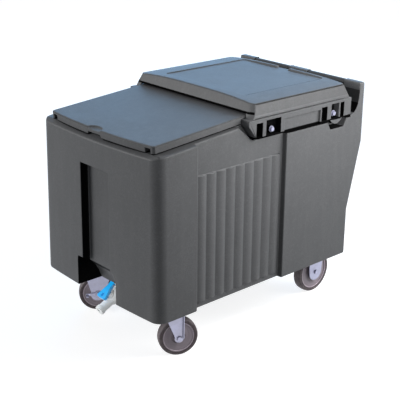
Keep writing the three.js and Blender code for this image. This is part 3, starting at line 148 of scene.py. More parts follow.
HOOD_PAINTED_SHADE = (
    ((-0.062, 0.255, 0.655), (-0.028, 0.2846, 0.7205), True, None, 0.98),
    ((-0.018, 0.255, 0.655), (0.050, 0.2846, 0.7205), True, None, 0.97),
    ((0.240, 0.255, 0.640), (0.274, 0.2846, 0.7205), True, None, 0.98),
    ((0.282, 0.255, 0.640), (0.326, 0.2846, 0.7205), True, None, 0.97),
    ((0.334, 0.255, 0.640), (0.354, 0.2846, 0.7205), True, None, 0.98),
    ((-0.1, 0.2, 0.655), (0.39, 0.29, 0.668), True, DOWN, 0.97),
    ((-0.1, 0.24, 0.735), (0.39, 0.29, 0.772), True, FAR_SIDE, 0.25),
)
LID_PAINTED_SHADE = (
    ((-0.470, 0.15, 0.6), (0.0, 0.249, 0.76), True, DOWN, 0.95),
    ((-0.470, -0.05, 0.6), (-0.40, 0.05, 0.70), False, DOWN, 0.95),
)


# Sizes and colours that a user would change
def length(name, description, default):
    return FloatProperty(name=name, description=description, default=default, unit="LENGTH", precision=4)


def angle(name, description, default):
    return FloatProperty(
        name=name, description=description, default=math.radians(default), subtype="ANGLE")


def number(name, description, default):
    return FloatProperty(name=name, description=description, default=default)


def colour(name, description, default):
    return FloatVectorProperty(name=name, description=description, default=default, subtype="COLOR", size=3)


class IceBinShellSizes(bpy.types.PropertyGroup):
    """Edge radii of the moulded shells."""

    shoulder: length("Shoulder", "Edge radius round the outside of the rim", 5 * MM)
    step: length("Panel steps", "Edge radius of the side panel steps", 3.5 * MM)
    foot: length("Foot", "Edge radius round the bottom of the tub", 5 * MM)
    rib: length("Rib valleys", "Edge radius between two ribs", 1.2 * MM)
    block: length("Post tops", "Edge radius round the tops of the posts", 5 * MM)
    socket: length("Sockets", "Edge radius at the bar's sockets and the drain scoop's arch", 0.8 * MM)
    small: length("Small edges", "Edge radius of all other tub edges", 2.5 * MM)
    hood_roof: length("Hood roof", "Edge radius round the hood's roof", 4.5 * MM)
    hood: length("Hood", "Edge radius of the hood's other edges", 1.8 * MM)
    lid: length("Lid", "Edge radius of the sliding lid", 2.0 * MM)
    edge_angle: angle("Edge angle", "Edges that turn by more than this are rounded", 26)


class IceBinWheelSizes(bpy.types.PropertyGroup):
    """Sizes of the wheels and their fastenings."""

    steps: IntProperty(name="Steps", description="Steps round each wheel", default=72)
    crown: length("Tread crown", "Rise of the tread between its shoulders", 0.9 * MM)
    shoulder: length("Tyre shoulder", "Radius where tread meets side wall", 4.5 * MM)
    ring: length("Core ring", "Width of the raised ring at the tyre", 3.4 * MM)
    ring_drop: length("Ring drop", "Depth of the raised ring behind the tyre's side", 0.9 * MM)
    dish: length("Front dish", "Depth of a front core's face behind the tyre's side", 2.8 * MM)
    rear_dish: length("Rear dish", "Depth of a rear core's face behind the tyre's side", 4.6 * MM)
    hub: length("Hub", "Radius of the hub", 15 * MM)
    hub_well: length("Hub well", "Radius of the sunk ring round the hub", 22 * MM)
    bolt: length("Bolt", "Radius of an axle bolt's shank", 4 * MM)
    bolt_head: length("Bolt head", "Radius across the corners of a bolt head", 7.5 * MM)


class IceBinColours(bpy.types.PropertyGroup):
    """Colours of the finishes."""

    shell: colour("Shell", "Charcoal of the tub, lid and hood", (0.084, 0.085, 0.088))
    shelf: colour("Shelf", "Plastic of the drain shelf", (0.075, 0.078, 0.082))
    white: colour("Faucet", "White plastic of the faucet", (0.93, 0.95, 0.95))
    blue: colour("Lever", "Blue plastic of the faucet lever", (0.0, 0.42, 0.93))
    tread: colour("Tread", "Brown grey rubber of the tyres", (0.049, 0.033, 0.040))
    core: colour("Core", "Warm grey plastic of the wheel cores", (0.29, 0.245, 0.275))
    zinc: colour("Zinc", "Bright zinc plate", (0.38, 0.38, 0.48))
    foam: colour("Foam", "Rigid insulating foam", (0.78, 0.66, 0.36))
    brass: colour("Brass", "Threaded inserts", (0.62, 0.43, 0.17))
    rubber: colour("Seals", "Black rubber of the seals", (0.018, 0.018, 0.02))


class IceBinStudio(bpy.types.PropertyGroup):
    """Camera and floor."""

    azimuth: angle("Azimuth", "Camera's turn round the bin", -43.32)
    elevation: angle("Elevation", "Camera's height angle", 20.63)
    roll: angle("Roll", "Camera's roll", 1.27)
    distance: length("Distance", "Camera's distance from its target", 3.2516)
    target_x: length("Target X", "Camera target along the bin", 0.020)
    target_z: length("Target Z", "Camera target above the floor", 0.3604)
    sensor: number("Sensor", "Width of the camera's sensor in millimetres", 36)
    focal_share: number("Focal share", "Focal length over sensor width", 2.3902)
    shift_x: number("Shift X", "Sideways lens shift", -0.0236)
    shift_y: number("Shift Y", "Upward lens shift", 0.0061)
    floor: length("Floor", "Edge length of the floor", 60.0)


def sizes(group):
    return getattr(bpy.context.scene, group)


# Shader values as Python expressions
class Value:
    """A socket in a material; arithmetic on it adds Math nodes."""

    def __init__(self, stuff, socket):
        self.stuff = stuff
        self.socket = socket

    def _math(self, operation, first, second):
        return self.stuff.node("ShaderNodeMath", {"operation": operation}, {0: first, 1: second})

    def __add__(self, other):
        return self._math("ADD", self, other)

    def __radd__(self, other):
        return self._math("ADD", other, self)

    def __sub__(self, other):
        return self._math("SUBTRACT", self, other)

    def __rsub__(self, other):
        return self._math("SUBTRACT", other, self)

    def __mul__(self, other):
        return self._math("MULTIPLY", self, other)

    def __rmul__(self, other):
        return self._math("MULTIPLY", other, self)

    def above(self, low, high):
        """0 below low, 1 above high, smooth between them."""
        limits = {"Value": self, "From Min": low, "From Max": high}
        return self.stuff.node("ShaderNodeMapRange", {"interpolation_type": "SMOOTHSTEP"}, limits)


class Stuff:
    """A procedural material or world and the nodes it is made of."""

    def __init__(self, name, library=bpy.data.materials):
        self.made = library.new(name)
        self.made.use_nodes = True
        self.tree = self.made.node_tree
        self.tree.nodes.clear()
        self.place = self.node("ShaderNodeTexCoord", output="Object")

    def node(self, kind, settings=None, inputs=None, output=0):
        """Adds one node: its settings first, then the values or links of its sockets."""
        made = self.tree.nodes.new(kind)
        for name, value in (settings or {}).items():
            if name == "stops":
                ramp = made.color_ramp
                while len(ramp.elements) < len(value):
                    ramp.elements.new(0.5)
                for element, (position, shade) in zip(ramp.elements, value):
                    element.position = position
                    element.color = (*shade, 1)
            else:
                setattr(made, name, value)
        for name, value in (inputs or {}).items():
            if isinstance(value, Value):
                self.tree.links.new(value.socket, made.inputs[name])
            else:
                made.inputs[name].default_value = value
        return None if output is None else Value(self, made.outputs[output])

    def noise(self, scale, detail=2.0, roughness=0.5, stretch=None):
        place = self.place
        if stretch:
            place = self.node("ShaderNodeMapping", None, {"Vector": place, "Scale": stretch})
        values = {"Vector": place, "Scale": scale, "Detail": detail, "Roughness": roughness}
        return self.node("ShaderNodeTexNoise", None, values)

    def cells(self, scale):
        return self.node("ShaderNodeTexVoronoi", None, {"Vector": self.place, "Scale": scale})

    def recess(self, shut=0.30, clear=0.66):
        """Painted shade: 1 in deep pockets and in the last few millimetres before a crease, 0 on open faces."""
        marked_shade = self.node("ShaderNodeAttribute", {"attribute_name": PAINTED_SHADE}, output="Fac")
        openness = self.node(
            "ShaderNodeAmbientOcclusion", {"samples": CREASE_SAMPLES}, {"Distance": CREASE_REACH},
            output="AO")
        crease_shade = 1 - openness.above(shut, clear)
        return self.larger(marked_shade, crease_shade * CREASE_SHADE_DEPTH)

    def seen(self):
        """1 for rays that show the background: straight to the camera, mirrored or through glass."""
        camera = self.node("ShaderNodeLightPath", output="Is Camera Ray")
        mirrored = self.node("ShaderNodeLightPath", output="Is Glossy Ray")
        through = self.node("ShaderNodeLightPath", output="Is Transmission Ray")
        return self.larger(camera, self.larger(mirrored, through))

    def larger(self, first, second):
        return self.node("ShaderNodeMath", {"operation": "MAXIMUM"}, {0: first, 1: second})

    def mix(self, amount, first, second):
        """Mixes two colours."""
        return self.node("ShaderNodeMix", {"data_type": "RGBA"}, {0: amount, 6: first, 7: second}, output=2)

    def bump(self, height, distance):
        return self.node("ShaderNodeBump", None, {"Height": height, "Distance": distance, "Strength": 1.0})

    def surface(self, shaded=None, **inputs):
        """The Principled shader on the output, mixed with a black shader as painted shade where shaded is 1; names
        have _ for spaces.
        """
        values = {name.replace("_", " "): value for name, value in inputs.items()}
        shader = self.node("ShaderNodeBsdfPrincipled", None, values)
        if shaded:
            # A black shader that stands in for shade
            dull = {"Base Color": (0.002, 0.002, 0.002, 1), "Roughness": 1.0, "Specular IOR Level": 0.0}
            hollow = self.node("ShaderNodeBsdfPrincipled", None, dull)
            shader = self.node("ShaderNodeMixShader", None, {0: shaded, 1: shader, 2: hollow})
        self.node("ShaderNodeOutputMaterial", None, {"Surface": shader}, output=None)
        return self.made


def shade(tint, factor):
    """A colour made lighter or darker, as four numbers."""
    return (*(min(1.0, part * factor) for part in tint), 1.0)


def blended(tint, other, amount):
    """A colour part of the way to another, as four numbers."""
    return (*(a + (b - a) * amount for a, b in zip(tint, other)), 1.0)


# Finishes
def moulded_plastic(name, tint, scuffs, roughness=0.46):
    """Rotomoulded polyethylene: pebbled, slightly wavy, with faint flow marks and rubbed edges. Marked recesses
    and creases get painted shade, mixed towards black.
    """
    stuff = Stuff(name)
    grain = stuff.noise(1500, 2.0, 0.6)
    pebble = stuff.cells(620)
    leather = stuff.noise(230, 3.0, 0.65)
    wave = stuff.noise(7, 1.0, 0.4)
    cloud = stuff.noise(11, 4.0, 0.62)
    streak = stuff.noise(38, 3.0, 0.6, stretch=(1, 1, 0.12))
    scratch = stuff.noise(90, 3.0, 0.75, stretch=(0.22, 1, 1.8)).above(0.66, 0.74)
    base = stuff.mix(cloud.above(0.32, 0.70), shade(tint, 0.93), shade(tint, 1.08))
    base = stuff.mix(leather.above(0.35, 0.65), shade(tint, 0.88), base)
    mottle = stuff.noise(95, 3.0, 0.7)
    base = stuff.mix(mottle.above(0.52, 0.72) * 0.5, base, shade(tint, 1.22))
    base = stuff.mix(streak.above(0.45, 0.75) * 0.35, base, shade(tint, 1.14))
    base = stuff.mix(scratch * scuffs, base, shade(tint, 1.55))
    rough = roughness + 0.10 * cloud - 0.05 * streak + 0.12 * scratch * scuffs
    height = wave * 2.2 + leather * 0.16 + pebble * 0.10 + grain * 0.08
    # Painted shade: the surface is mixed towards black in marked recesses and creases
    return stuff.surface(
        stuff.recess(), Base_Color=base, Roughness=rough, Normal=stuff.bump(height, 0.9 * MM),
        Specular_IOR_Level=0.2)


def smooth_plastic(name, tint, roughness, gleam):
    """Injection-moulded plastic with a light sheen and fine handling marks, a painted highlight where faces are
    marked for it, and painted shade in recesses and creases.
    """
    stuff = Stuff(name)
    cloud = stuff.noise(60, 3.0, 0.6)
    mark = stuff.noise(240, 3.0, 0.7, stretch=(1, 0.2, 1)).above(0.64, 0.74)
    base = stuff.mix(cloud.above(0.3, 0.7), shade(tint, 0.95), shade(tint, 1.04))
    base = stuff.mix(mark * 0.12, base, shade(tint, 0.7))
    # Painted highlight: faces marked for it, such as a wheel core's ring, are made lighter
    rubbed = stuff.node("ShaderNodeAttribute", {"attribute_name": PAINTED_HIGHLIGHT}, output="Fac")
    base = stuff.mix(rubbed * 0.9, base, shade(tint, 2.0))
    # Painted shade in marked recesses and creases
    base = stuff.mix(stuff.recess() * 0.5, base, shade(tint, 0.3))
    rough = roughness + 0.08 * cloud + 0.1 * mark
    height = cloud * 0.5 + stuff.noise(1800, 1.0) * 0.08
    return stuff.surface(
        Base_Color=base, Roughness=rough, Normal=stuff.bump(height, 0.12 * MM), Coat_Weight=gleam,
        Coat_Roughness=0.15)


def tread_rubber(name, tint):
    """Soft thermoplastic rubber, dusty in its pores."""
    stuff = Stuff(name)
    grain = stuff.noise(1300, 3.0, 0.7)
    dust = stuff.noise(55, 5.0, 0.7)
    scuff = stuff.noise(160, 3.0, 0.7, stretch=(1, 0.25, 1)).above(0.58, 0.72)
    dusty = blended(tint, (0.32, 0.28, 0.27), 0.22)
    base = stuff.mix(dust.above(0.35, 0.72), shade(tint, 0.9), dusty)
    base = stuff.mix(scuff * 0.30, base, shade(tint, 1.7))
    rough = 0.52 + 0.18 * dust + 0.1 * scuff
    height = grain + dust * 0.8
    return stuff.surface(
        Base_Color=base, Roughness=rough, Normal=stuff.bump(height, 0.18 * MM), Coat_Weight=0.05)


def zinc_plate(name, tint):
    """Bright zinc on pressed steel: fine drawn lines, crystal patches and a faint bluish bloom, with painted
    shade, nearly black, in creases and hollows.
    """
    stuff = Stuff(name)
    patch = stuff.cells(210)
    bloom = stuff.noise(34, 4.0, 0.6)
    drawn = stuff.noise(260, 2.0, 0.6, stretch=(1, 1, 0.08))
    bluish = blended(tint, (0.44, 0.45, 0.61), 0.6)
    base = stuff.mix(bloom.above(0.30, 0.72), shade(tint, 0.92), bluish)
    base = stuff.mix(patch.above(0.30, 0.75) * 0.25, base, shade(tint, 1.12))
    # Painted shade: creases and hollows turn nearly black
    base = stuff.mix(stuff.recess(0.45, 0.88) * 0.85, base, shade(tint, 0.12))
    rough = 0.30 + 0.14 * bloom + 0.06 * drawn
    height = drawn * 0.35 + patch * 0.25
    return stuff.surface(
        Base_Color=base, Metallic=0.82, Roughness=rough, Normal=stuff.bump(height, 0.06 * MM))


def rigid_foam(name, tint):
    """Closed-cell foam with its open cut cells."""
    stuff = Stuff(name)
    cell = stuff.cells(420)
    cloud = stuff.noise(24, 4.0, 0.6)
    base = stuff.mix(cloud.above(0.3, 0.7), shade(tint, 0.86), shade(tint, 1.08))
    base = stuff.mix(cell.above(0.1, 0.6) * 0.5, shade(tint, 0.72), base)
    return stuff.surface(Base_Color=base, Roughness=0.9, Normal=stuff.bump(cell, 0.8 * MM))


def seal_rubber(name, tint):
    """Black nitrile rubber with a fine bloom."""
    stuff = Stuff(name)
    bloom = stuff.noise(180, 4.0, 0.7)
    base = stuff.mix(bloom.above(0.4, 0.75), shade(tint, 1.0), shade(tint, 2.2))
    rough = 0.55 + 0.2 * bloom
    return stuff.surface(Base_Color=base, Roughness=rough, Normal=stuff.bump(bloom, 0.1 * MM))


def knurled_brass(name, tint):
    """Brass with crossed knurl lines."""
    stuff = Stuff(name)
    lines = {"Vector": stuff.place, "Scale": 160.0, "Distortion": 0.4}
    knurl = stuff.node("ShaderNodeTexWave", None, lines)
    tarnish = stuff.noise(110, 4.0, 0.6)
    base = stuff.mix(tarnish.above(0.35, 0.7), shade(tint, 1.05), shade(tint, 0.7))
    return stuff.surface(
        Base_Color=base, Metallic=1.0, Roughness=0.3 + 0.2 * tarnish,
        Normal=stuff.bump(knurl, 0.25 * MM))


FINISHES = {}


def make_finishes():
    tints = sizes("ice_bin_colours")
    FINISHES["tub_plastic"] = moulded_plastic("charcoal_tub_plastic", tints.shell, 0.30)
    FINISHES["shelf_plastic"] = moulded_plastic("shelf_plastic", tints.shelf, 0.5, 0.52)
    FINISHES["faucet_plastic"] = smooth_plastic("white_faucet_plastic", tints.white, 0.30, 0.15)
    FINISHES["lever_plastic"] = smooth_plastic("blue_lever_plastic", tints.blue, 0.28, 0.20)
    FINISHES["wheel_plastic"] = smooth_plastic("warm_grey_wheel_plastic", tints.core, 0.42, 0.05)
    FINISHES["tread_rubber"] = tread_rubber("brown_tread_rubber", tints.tread)
    FINISHES["zinc_steel"] = zinc_plate("bright_zinc", tints.zinc)
    FINISHES["foam"] = rigid_foam("insulating_foam", tints.foam)
    FINISHES["seal_rubber"] = seal_rubber("black_seal_rubber", tints.rubber)
    FINISHES["insert_brass"] = knurled_brass("knurled_brass", tints.brass)


# Mesh making
def spun(profile, steps):
    """A body of revolution about Y from (radius, place) pairs, closed unless it starts on the axis."""
    bm = bmesh.new()
    verts = [bm.verts.new((radius, place, 0)) for radius, place in profile]
    edges = [bm.edges.new(pair) for pair in zip(verts, verts[1:])]
    if profile[0][0] > 0:
        edges.append(bm.edges.new((verts[-1], verts[0])))
    bmesh.ops.spin(
        bm, geom=verts + edges, cent=(0, 0, 0), axis=(0, 1, 0), angle=2 * math.pi, steps=steps,
        use_merge=True)
    bmesh.ops.remove_doubles(bm, verts=bm.verts, dist=0.001 * MM)
    bmesh.ops.recalc_face_normals(bm, faces=bm.faces)
    return bm


def prism(sides, radius, low, high):
    """A regular prism along Y, such as a nut."""
    bm = bmesh.new()
    bmesh.ops.create_cone(
        bm, cap_ends=True, segments=sides, radius1=radius, radius2=radius, depth=high - low,
        matrix=Matrix.Translation((0, (low + high) / 2, 0)) @ Matrix.Rotation(-math.pi / 2, 4, "X"))
    bmesh.ops.recalc_face_normals(bm, faces=bm.faces)
    return bm


def rounded(bm, radius, angle=30, segments=2, choose=None):
    """Rounds the edges that turn by more than angle degrees, or those that choose picks from them."""
    limit = math.radians(angle)
    edges = [edge for edge in bm.edges if edge.is_manifold and edge.calc_face_angle(0) > limit]
    if choose:
        edges = [edge for edge in edges if choose(edge)]
    bmesh.ops.bevel(
        bm, geom=edges, offset=radius, offset_type="OFFSET", affect="EDGES", segments=segments, profile=0.5,
        material=-1, clamp_overlap=True)
    return bm


def gathered(*parts):
    """Several closed meshes as one, in the order given."""
    whole = bmesh.new()
    for part in parts:
        scratch = bpy.data.meshes.new("part")
        part.to_mesh(scratch)
        whole.from_mesh(scratch)
        bpy.data.meshes.remove(scratch)
        part.free()
    return whole


def moved(bm, matrix):
    bmesh.ops.transform(bm, matrix=matrix, verts=bm.verts)
    return bm


def arc(centre, radius, start, end, steps):
    """Points of an arc, angles in degrees."""
    turns = (math.radians(start + (end - start) * step / steps) for step in range(steps + 1))
    return [(centre[0] + radius * math.cos(turn), centre[1] + radius * math.sin(turn)) for turn in turns]


def show(name, bm, nodes, matrix=None, smooth_angle=35):
    """Makes the object, gives it its finish, and lets it stand for its CAD nodes."""
    if matrix:
        moved(bm, matrix)
    mesh = bpy.data.meshes.new(name)
    bm.to_mesh(mesh)
    bm.free()
    mesh.shade_smooth()
    mesh.set_sharp_from_angle(angle=math.radians(smooth_angle))
    piece = bpy.data.objects.new(name, mesh)
    bpy.context.scene.collection.objects.link(piece)
    finish = SLOT[nodes[0]]
    mesh.materials.append(FINISHES[finish])
    even = piece.modifiers.new("even_normals", "WEIGHTED_NORMAL")
    even.keep_sharp = True
    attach(piece, BODY[nodes[0]])
    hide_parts(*nodes)
    return piece


def copy_of(node):
    """The CAD node's mesh with its triangles merged into clean faces."""
    bm = bmesh.new()
    bm.from_mesh(frame["nodes"][node].data)
    bmesh.ops.remove_doubles(bm, verts=bm.verts, dist=0.1 * MM)
    bmesh.ops.dissolve_degenerate(bm, dist=0.05 * MM, edges=bm.edges)
    bmesh.ops.dissolve_limit(
        bm, angle_limit=math.radians(0.6), use_dissolve_boundaries=False, verts=bm.verts, edges=bm.edges)
    return bm


def mark_painted_shade(bm, shade_boxes):
    """Marks the faces in a box of the table for painted shade, on both sides of the bin where the table says so.
    """
    layer = bm.faces.layers.float.new(PAINTED_SHADE)
    for face in bm.faces:
        middle = face.calc_center_median()
        for low, high, both_sides, facing, depth in shade_boxes:
            flip = Vector((1, -1 if both_sides and middle.y < 0 else 1, 1))
            place = middle * flip
            inside = all(a <= b <= c for a, b, c in zip(low, place, high))
            if inside and (facing is None or (face.normal * flip).dot(Vector(facing)) > FACING_LIMIT):
                face[layer] = max(face[layer], depth)


def looks(face, facing):
    """Whether a face is turned that way, or any way where facing is None."""
    return facing is None or face.normal.dot(Vector(facing)) > FACING_LIMIT


def scored(bm, facing, planes):
    """Cuts the faces that look that way along planes, each a point and a normal, and takes nothing away."""
    for point, normal in planes:
        faces = [face for face in bm.faces if looks(face, facing)]
        edges = {edge for face in faces for edge in face.edges}
        verts = {vert for face in faces for vert in face.verts}
        bmesh.ops.bisect_plane(
            bm, geom=[*verts, *edges, *faces], dist=0.01 * MM, plane_co=point, plane_no=normal)


def shadow_line(bm, point, normal, low, high, facing, depth):
    """Marks the steep faces between two heights over a plane with painted shadow, as the dark line along a seam.
    """
    layer = bm.faces.layers.float[PAINTED_SHADE]
    for face in bm.faces:
        height = (face.calc_center_median() - point).dot(normal)
        if looks(face, facing) and low < height < high and abs(face.normal.dot(normal)) < STEEP_LIMIT:
            face[layer] = max(face[layer], depth)


def softened(name, node, radius_of, shade_boxes, lines):
    """A copy of a shell whose sharp edges are rounded, each by the radius that radius_of gives, with painted shade
    marked in the given boxes and along the given lines.
    """
    bm = copy_of(node)
    for point, normal, low, high, facing, _ in lines:
        scored(bm, facing, [(point + normal * low, normal), (point + normal * high, normal)])
    mark_painted_shade(bm, shade_boxes)
    for line in lines:
        shadow_line(bm, *line)
    limit = sizes("ice_bin_shell").edge_angle
    weights = bm.edges.layers.float.new("bevel_weight_edge")
    radii = {}
    for edge in bm.edges:
        if edge.is_manifold and edge.calc_face_angle(0) > limit:
            low = Vector(map(min, edge.verts[0].co, edge.verts[1].co))
            high = Vector(map(max, edge.verts[0].co, edge.verts[1].co))
            radii[edge] = radius_of(low, high, edge)
    widest = max(radii.values())
    for edge, radius in radii.items():
        edge[weights] = radius / widest
    piece = show(name, bm, [node], smooth_angle=180)
    round_edges = piece.modifiers.new("round_edges", "BEVEL")
    round_edges.width = widest
    round_edges.segments = 3
    round_edges.limit_method = "WEIGHT"
    round_edges.use_clamp_overlap = False
    round_edges.loop_slide = True
    piece.modifiers.move(1, 0)
    return piece


def broken(name, node, radius, angle=32):
    """A copy of a CAD node with its edges rounded a little."""
    show(name, rounded(copy_of(node), radius, angle), [node])


def carried_over(*nodes):
    """CAD nodes that keep their shape and get the finish of their slot."""
    for node in nodes:
        item = frame["nodes"][node]
        item.data.materials.clear()
        item.data.materials.append(FINISHES[SLOT[node]])


# The moulded shells
def tub_radius(low, high, edge):
    """The radius of one of the tub's edges, from where it lies and how it runs."""
    radii = sizes("ice_bin_shell")
    outside = min(abs(low.y), abs(high.y)) > OUTSIDE_REACH
    front = high.x < CAD_BOX[0].x + FRONT_DEPTH
    rise = high.z - low.z
    upright = rise > UPRIGHT_RISE
    hollow = edge.calc_face_angle_signed(0) < 0
    if rise < FLAT_RISE and abs(low.z - FOOT_HEIGHT) < FOOT_SLACK and (outside or front):
        return radii.foot
    if low.z > RIM_FOOT and (outside or front) and not upright and low.x < 0:
        return radii.shoulder
    if upright and outside and hollow and low.z < LOW_START:
        return radii.rib if RIB_START < low.x < RIB_END and high.z < RIB_TOP else radii.step
    if upright and outside:
        return radii.step
    if low.x < SCOOP_FRONT and low.z > SCOOP_ARCH_FOOT and high.z < SCOOP_ARCH_TOP:
        return radii.socket
    if low.z > POST_BLOCK_FOOT and not upright:
        at_socket = high.y - low.y < 1 * MM and abs(low.y) < OUTSIDE_REACH
        return radii.socket if at_socket else radii.block
    return radii.small


def hood_radius(low, high, edge):
    """The radius of one of the hood's edges: the roof's own outside edges are rounder."""
    radii = sizes("ice_bin_shell")
    sharp = edge.calc_face_angle_signed(0) > HOOD_ROOF_TURN
    return radii.hood_roof if low.z > HOOD_ROOF_FOOT and sharp else radii.hood


def lid_radius(low, high, edge):
    return sizes("ice_bin_shell").lid


def lid_shadow_lines():
    """Painted shadow along the seam under the sliding lid, and a line of painted shade along its top edge."""
    slope = Vector(JOINT["lid_slide"]["axis"])
    normal = Vector((-slope.z, 0, slope.x))
    heights = [vertex.co.dot(normal) for vertex in frame["nodes"]["front_lid"].data.vertices]
    foot = normal * min(heights)
    thick = max(heights) - min(heights)
    return (
        (foot, normal, -1 * MM, 2.6 * MM, None, 0.97),
        (foot, normal, thick - 4.0 * MM, thick - 1.8 * MM, None, 0.35))


def hood_shadow_lines():
    """Painted shadow in the gaps under the hood's band and over its mouth, and lines of painted shade under its
    roof's sides.
    """
    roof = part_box("rear_hood")[1].z
    foot = Vector((0, 0, HOOD_BAND_FOOT))
    mouth = Vector((0, 0, HOOD_MOUTH_TOP))
    edge = Vector((0, 0, roof - 10 * MM))
    return (
        (foot, UP, 0, 6 * MM, None, 0.98),
        (mouth, UP, 0, 7 * MM, DRAIN_END, 0.99),
        (edge, UP, -3.2 * MM, -0.6 * MM, CAMERA_SIDE, 0.45),
        (edge, UP, -3.2 * MM, -0.6 * MM, FAR_SIDE, 0.45))


class ICEBIN_OT_finishes(bpy.types.Operator):
    """Make the procedural finishes"""

    bl_idname = "icebin.finishes"
    bl_label = "Finishes"

    def execute(self, context):
        make_finishes()
        return {"FINISHED"}


class ICEBIN_OT_tub(bpy.types.Operator):
    """Round and finish the tub, its foam core, plug and shelf"""

    bl_idname = "icebin.tub"
    bl_label = "Tub"

    def execute(self, context):
        heights = (POST_SHADE_TOP, POST_BLOCK_FOOT)
        cuts = [(Vector((0, 0, height)), UP, 0, 0.5 * MM, None, 0) for height in heights]
        softened("tub_shell", "bin_body", tub_radius, TUB_PAINTED_SHADE, cuts)
        carried_over("foam_core")
        broken("foam_fill_plug", "fill_plug", 0.8 * MM, 30)
        broken("perforated_shelf", "drain_shelf", 1.2 * MM, 40)
        return {"FINISHED"}


class ICEBIN_OT_lid(bpy.types.Operator):
    """Round and finish the sliding lid"""

    bl_idname = "icebin.lid"
    bl_label = "Sliding lid"

    def execute(self, context):
        softened("sliding_lid", "front_lid", lid_radius, LID_PAINTED_SHADE, lid_shadow_lines())
        return {"FINISHED"}


class ICEBIN_OT_hood(bpy.types.Operator):
    """Round and finish the bolted hood"""

    bl_idname = "icebin.hood"
    bl_label = "Hood"

    def execute(self, context):
        softened("bolted_hood", "rear_hood", hood_radius, HOOD_PAINTED_SHADE, hood_shadow_lines())
        return {"FINISHED"}


class ICEBIN_OT_handle(bpy.types.Operator):
    """Make the push handle bar"""

    bl_idname = "icebin.handle"
    bl_label = "Handle bar"

    def execute(self, context):
        low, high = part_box("handle_bar")
        radius = (high.z - low.z) / 2
        reach = high.y
        bore = radius - 2.5 * MM
        end = 0.6 * MM
        profile = [
            (bore, -reach), (bore, reach), (radius - end, reach), (radius, reach - end), (radius, 0),
            (radius, end - reach), (radius - end, -reach)]
        bar = spun(profile, sizes("ice_bin_wheels").steps)
        # Painted shade: faces that turn downwards are darker
        layer = bar.faces.layers.float.new(PAINTED_SHADE)
        for face in bar.faces:
            face[layer] = min(0.9, max(0.35, 0.75 - face.normal.z))
        show("push_handle_bar", bar, ["handle_bar"], Matrix.Translation((low + high) / 2))
        return {"FINISHED"}


# Hardware
def bolt_head(radius):
    """A hexagon head with a washer face, standing on Y 0 towards +Y."""
    face = 0.7 * MM
    head = rounded(prism(6, radius, face, BOLT_HEAD_HEIGHT), HEX_EDGE, 40, 2)
    flange = rounded(prism(40, radius * 1.02, 0, face), 0.25 * MM, 40, 1)
    return gathered(head, flange)


def shank(radius, low, high):
    """A threaded shank: ridges round a core, along Y."""
    pitch = 1.25 * MM
    depth = 0.45 * MM
    profile = [(0, low), (radius - depth, low)]
    for turn in range(int((high - low) / pitch)):
        start = low + pitch * turn
        profile += [(radius - depth, start + 0.1 * pitch), (radius, start + 0.5 * pitch)]
    profile += [(radius - depth, high), (0, high)]
    return spun(profile, 28)


def nut(radius, low, high):
    """A hexagon nut along Y, whose locking collar stands a little past it."""
    bore = 4.3 * MM
    outer = bore + 1.6 * MM
    body = rounded(prism(6, radius, low, high - COLLAR), HEX_EDGE, 40, 2)
    collar = spun([(bore, low), (bore, high), (outer, high), (outer, low)], 32)
    return gathered(body, collar)


def washer(radius, thick):
    """A flat washer round Y, its outer edges broken."""
    bore = 4.4 * MM
    edge = 0.3 * MM
    half = thick / 2
    return spun([
        (bore, -half), (bore, half), (radius - edge, half), (radius, half - edge), (radius, edge - half),
        (radius - edge, -half)], 48)


class ICEBIN_OT_hood_fastenings(bpy.types.Operator):
    """Make the hood's bolts and washers, and finish the inserts"""

    bl_idname = "icebin.hood_fastenings"
    bl_label = "Hood fastenings"

    def execute(self, context):
        wheel = sizes("ice_bin_wheels")
        for corner in CORNERS:
            node = f"hood_bolt_{corner}"
            low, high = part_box(node)
            centre = Vector(((low.x + high.x) / 2, 0, (low.z + high.z) / 2))
            outer = max(abs(low.y), abs(high.y))
            inner = min(abs(low.y), abs(high.y))
            neck = outer - BOLT_HEAD_HEIGHT
            bolt = gathered(
                moved(bolt_head(wheel.bolt_head), Matrix.Translation((0, neck, 0))),
                shank(wheel.bolt, inner, neck + BOLT_OVERLAP))
            turn = Matrix.Rotation(0 if high.y > 0 else math.pi, 4, "Z")
            show(f"hood_bolt_{corner}_finished", bolt, [node], Matrix.Translation(centre) @ turn)
            low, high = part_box(f"hood_washer_{corner}")
            ring = washer((high.z - low.z) / 2, high.y - low.y)
            show(f"hood_washer_{corner}_finished", ring, [f"hood_washer_{corner}"],
                 Matrix.Translation((low + high) / 2))
            carried_over(f"hood_insert_{corner}")
        return {"FINISHED"}


def wheel_place(corner):
    """Where a wheel stands: its centre, with Y along its axle and Z up."""
    joint = JOINT[f"{corner}_wheel_spin"]
    across = Vector(joint["axis"])
    along = across.cross(UP)
    turn = Matrix((along, across, UP)).transposed().to_4x4()
    return Matrix.Translation(joint["pos_m"]) @ turn


def from_axle(corner, piece):
    """The vertices of a wheel's CAD node, in the wheel's own place."""
    back = wheel_place(corner).inverted()
    return [back @ vertex.co for vertex in frame["nodes"][f"{corner}_{piece}"].data.vertices]


def wheel_reach(corner, piece):
    """A wheel piece's least and greatest distance from the axle, and its reach along it."""
    spots = from_axle(corner, piece)
    distances = [math.hypot(spot.x, spot.z) for spot in spots]
    return min(distances), max(distances), max(spot.y for spot in spots)


def span(corner, piece):
    """Where a fastening starts and ends along the axle."""
    places = [spot.y for spot in from_axle(corner, piece)]
    return min(places), max(places)


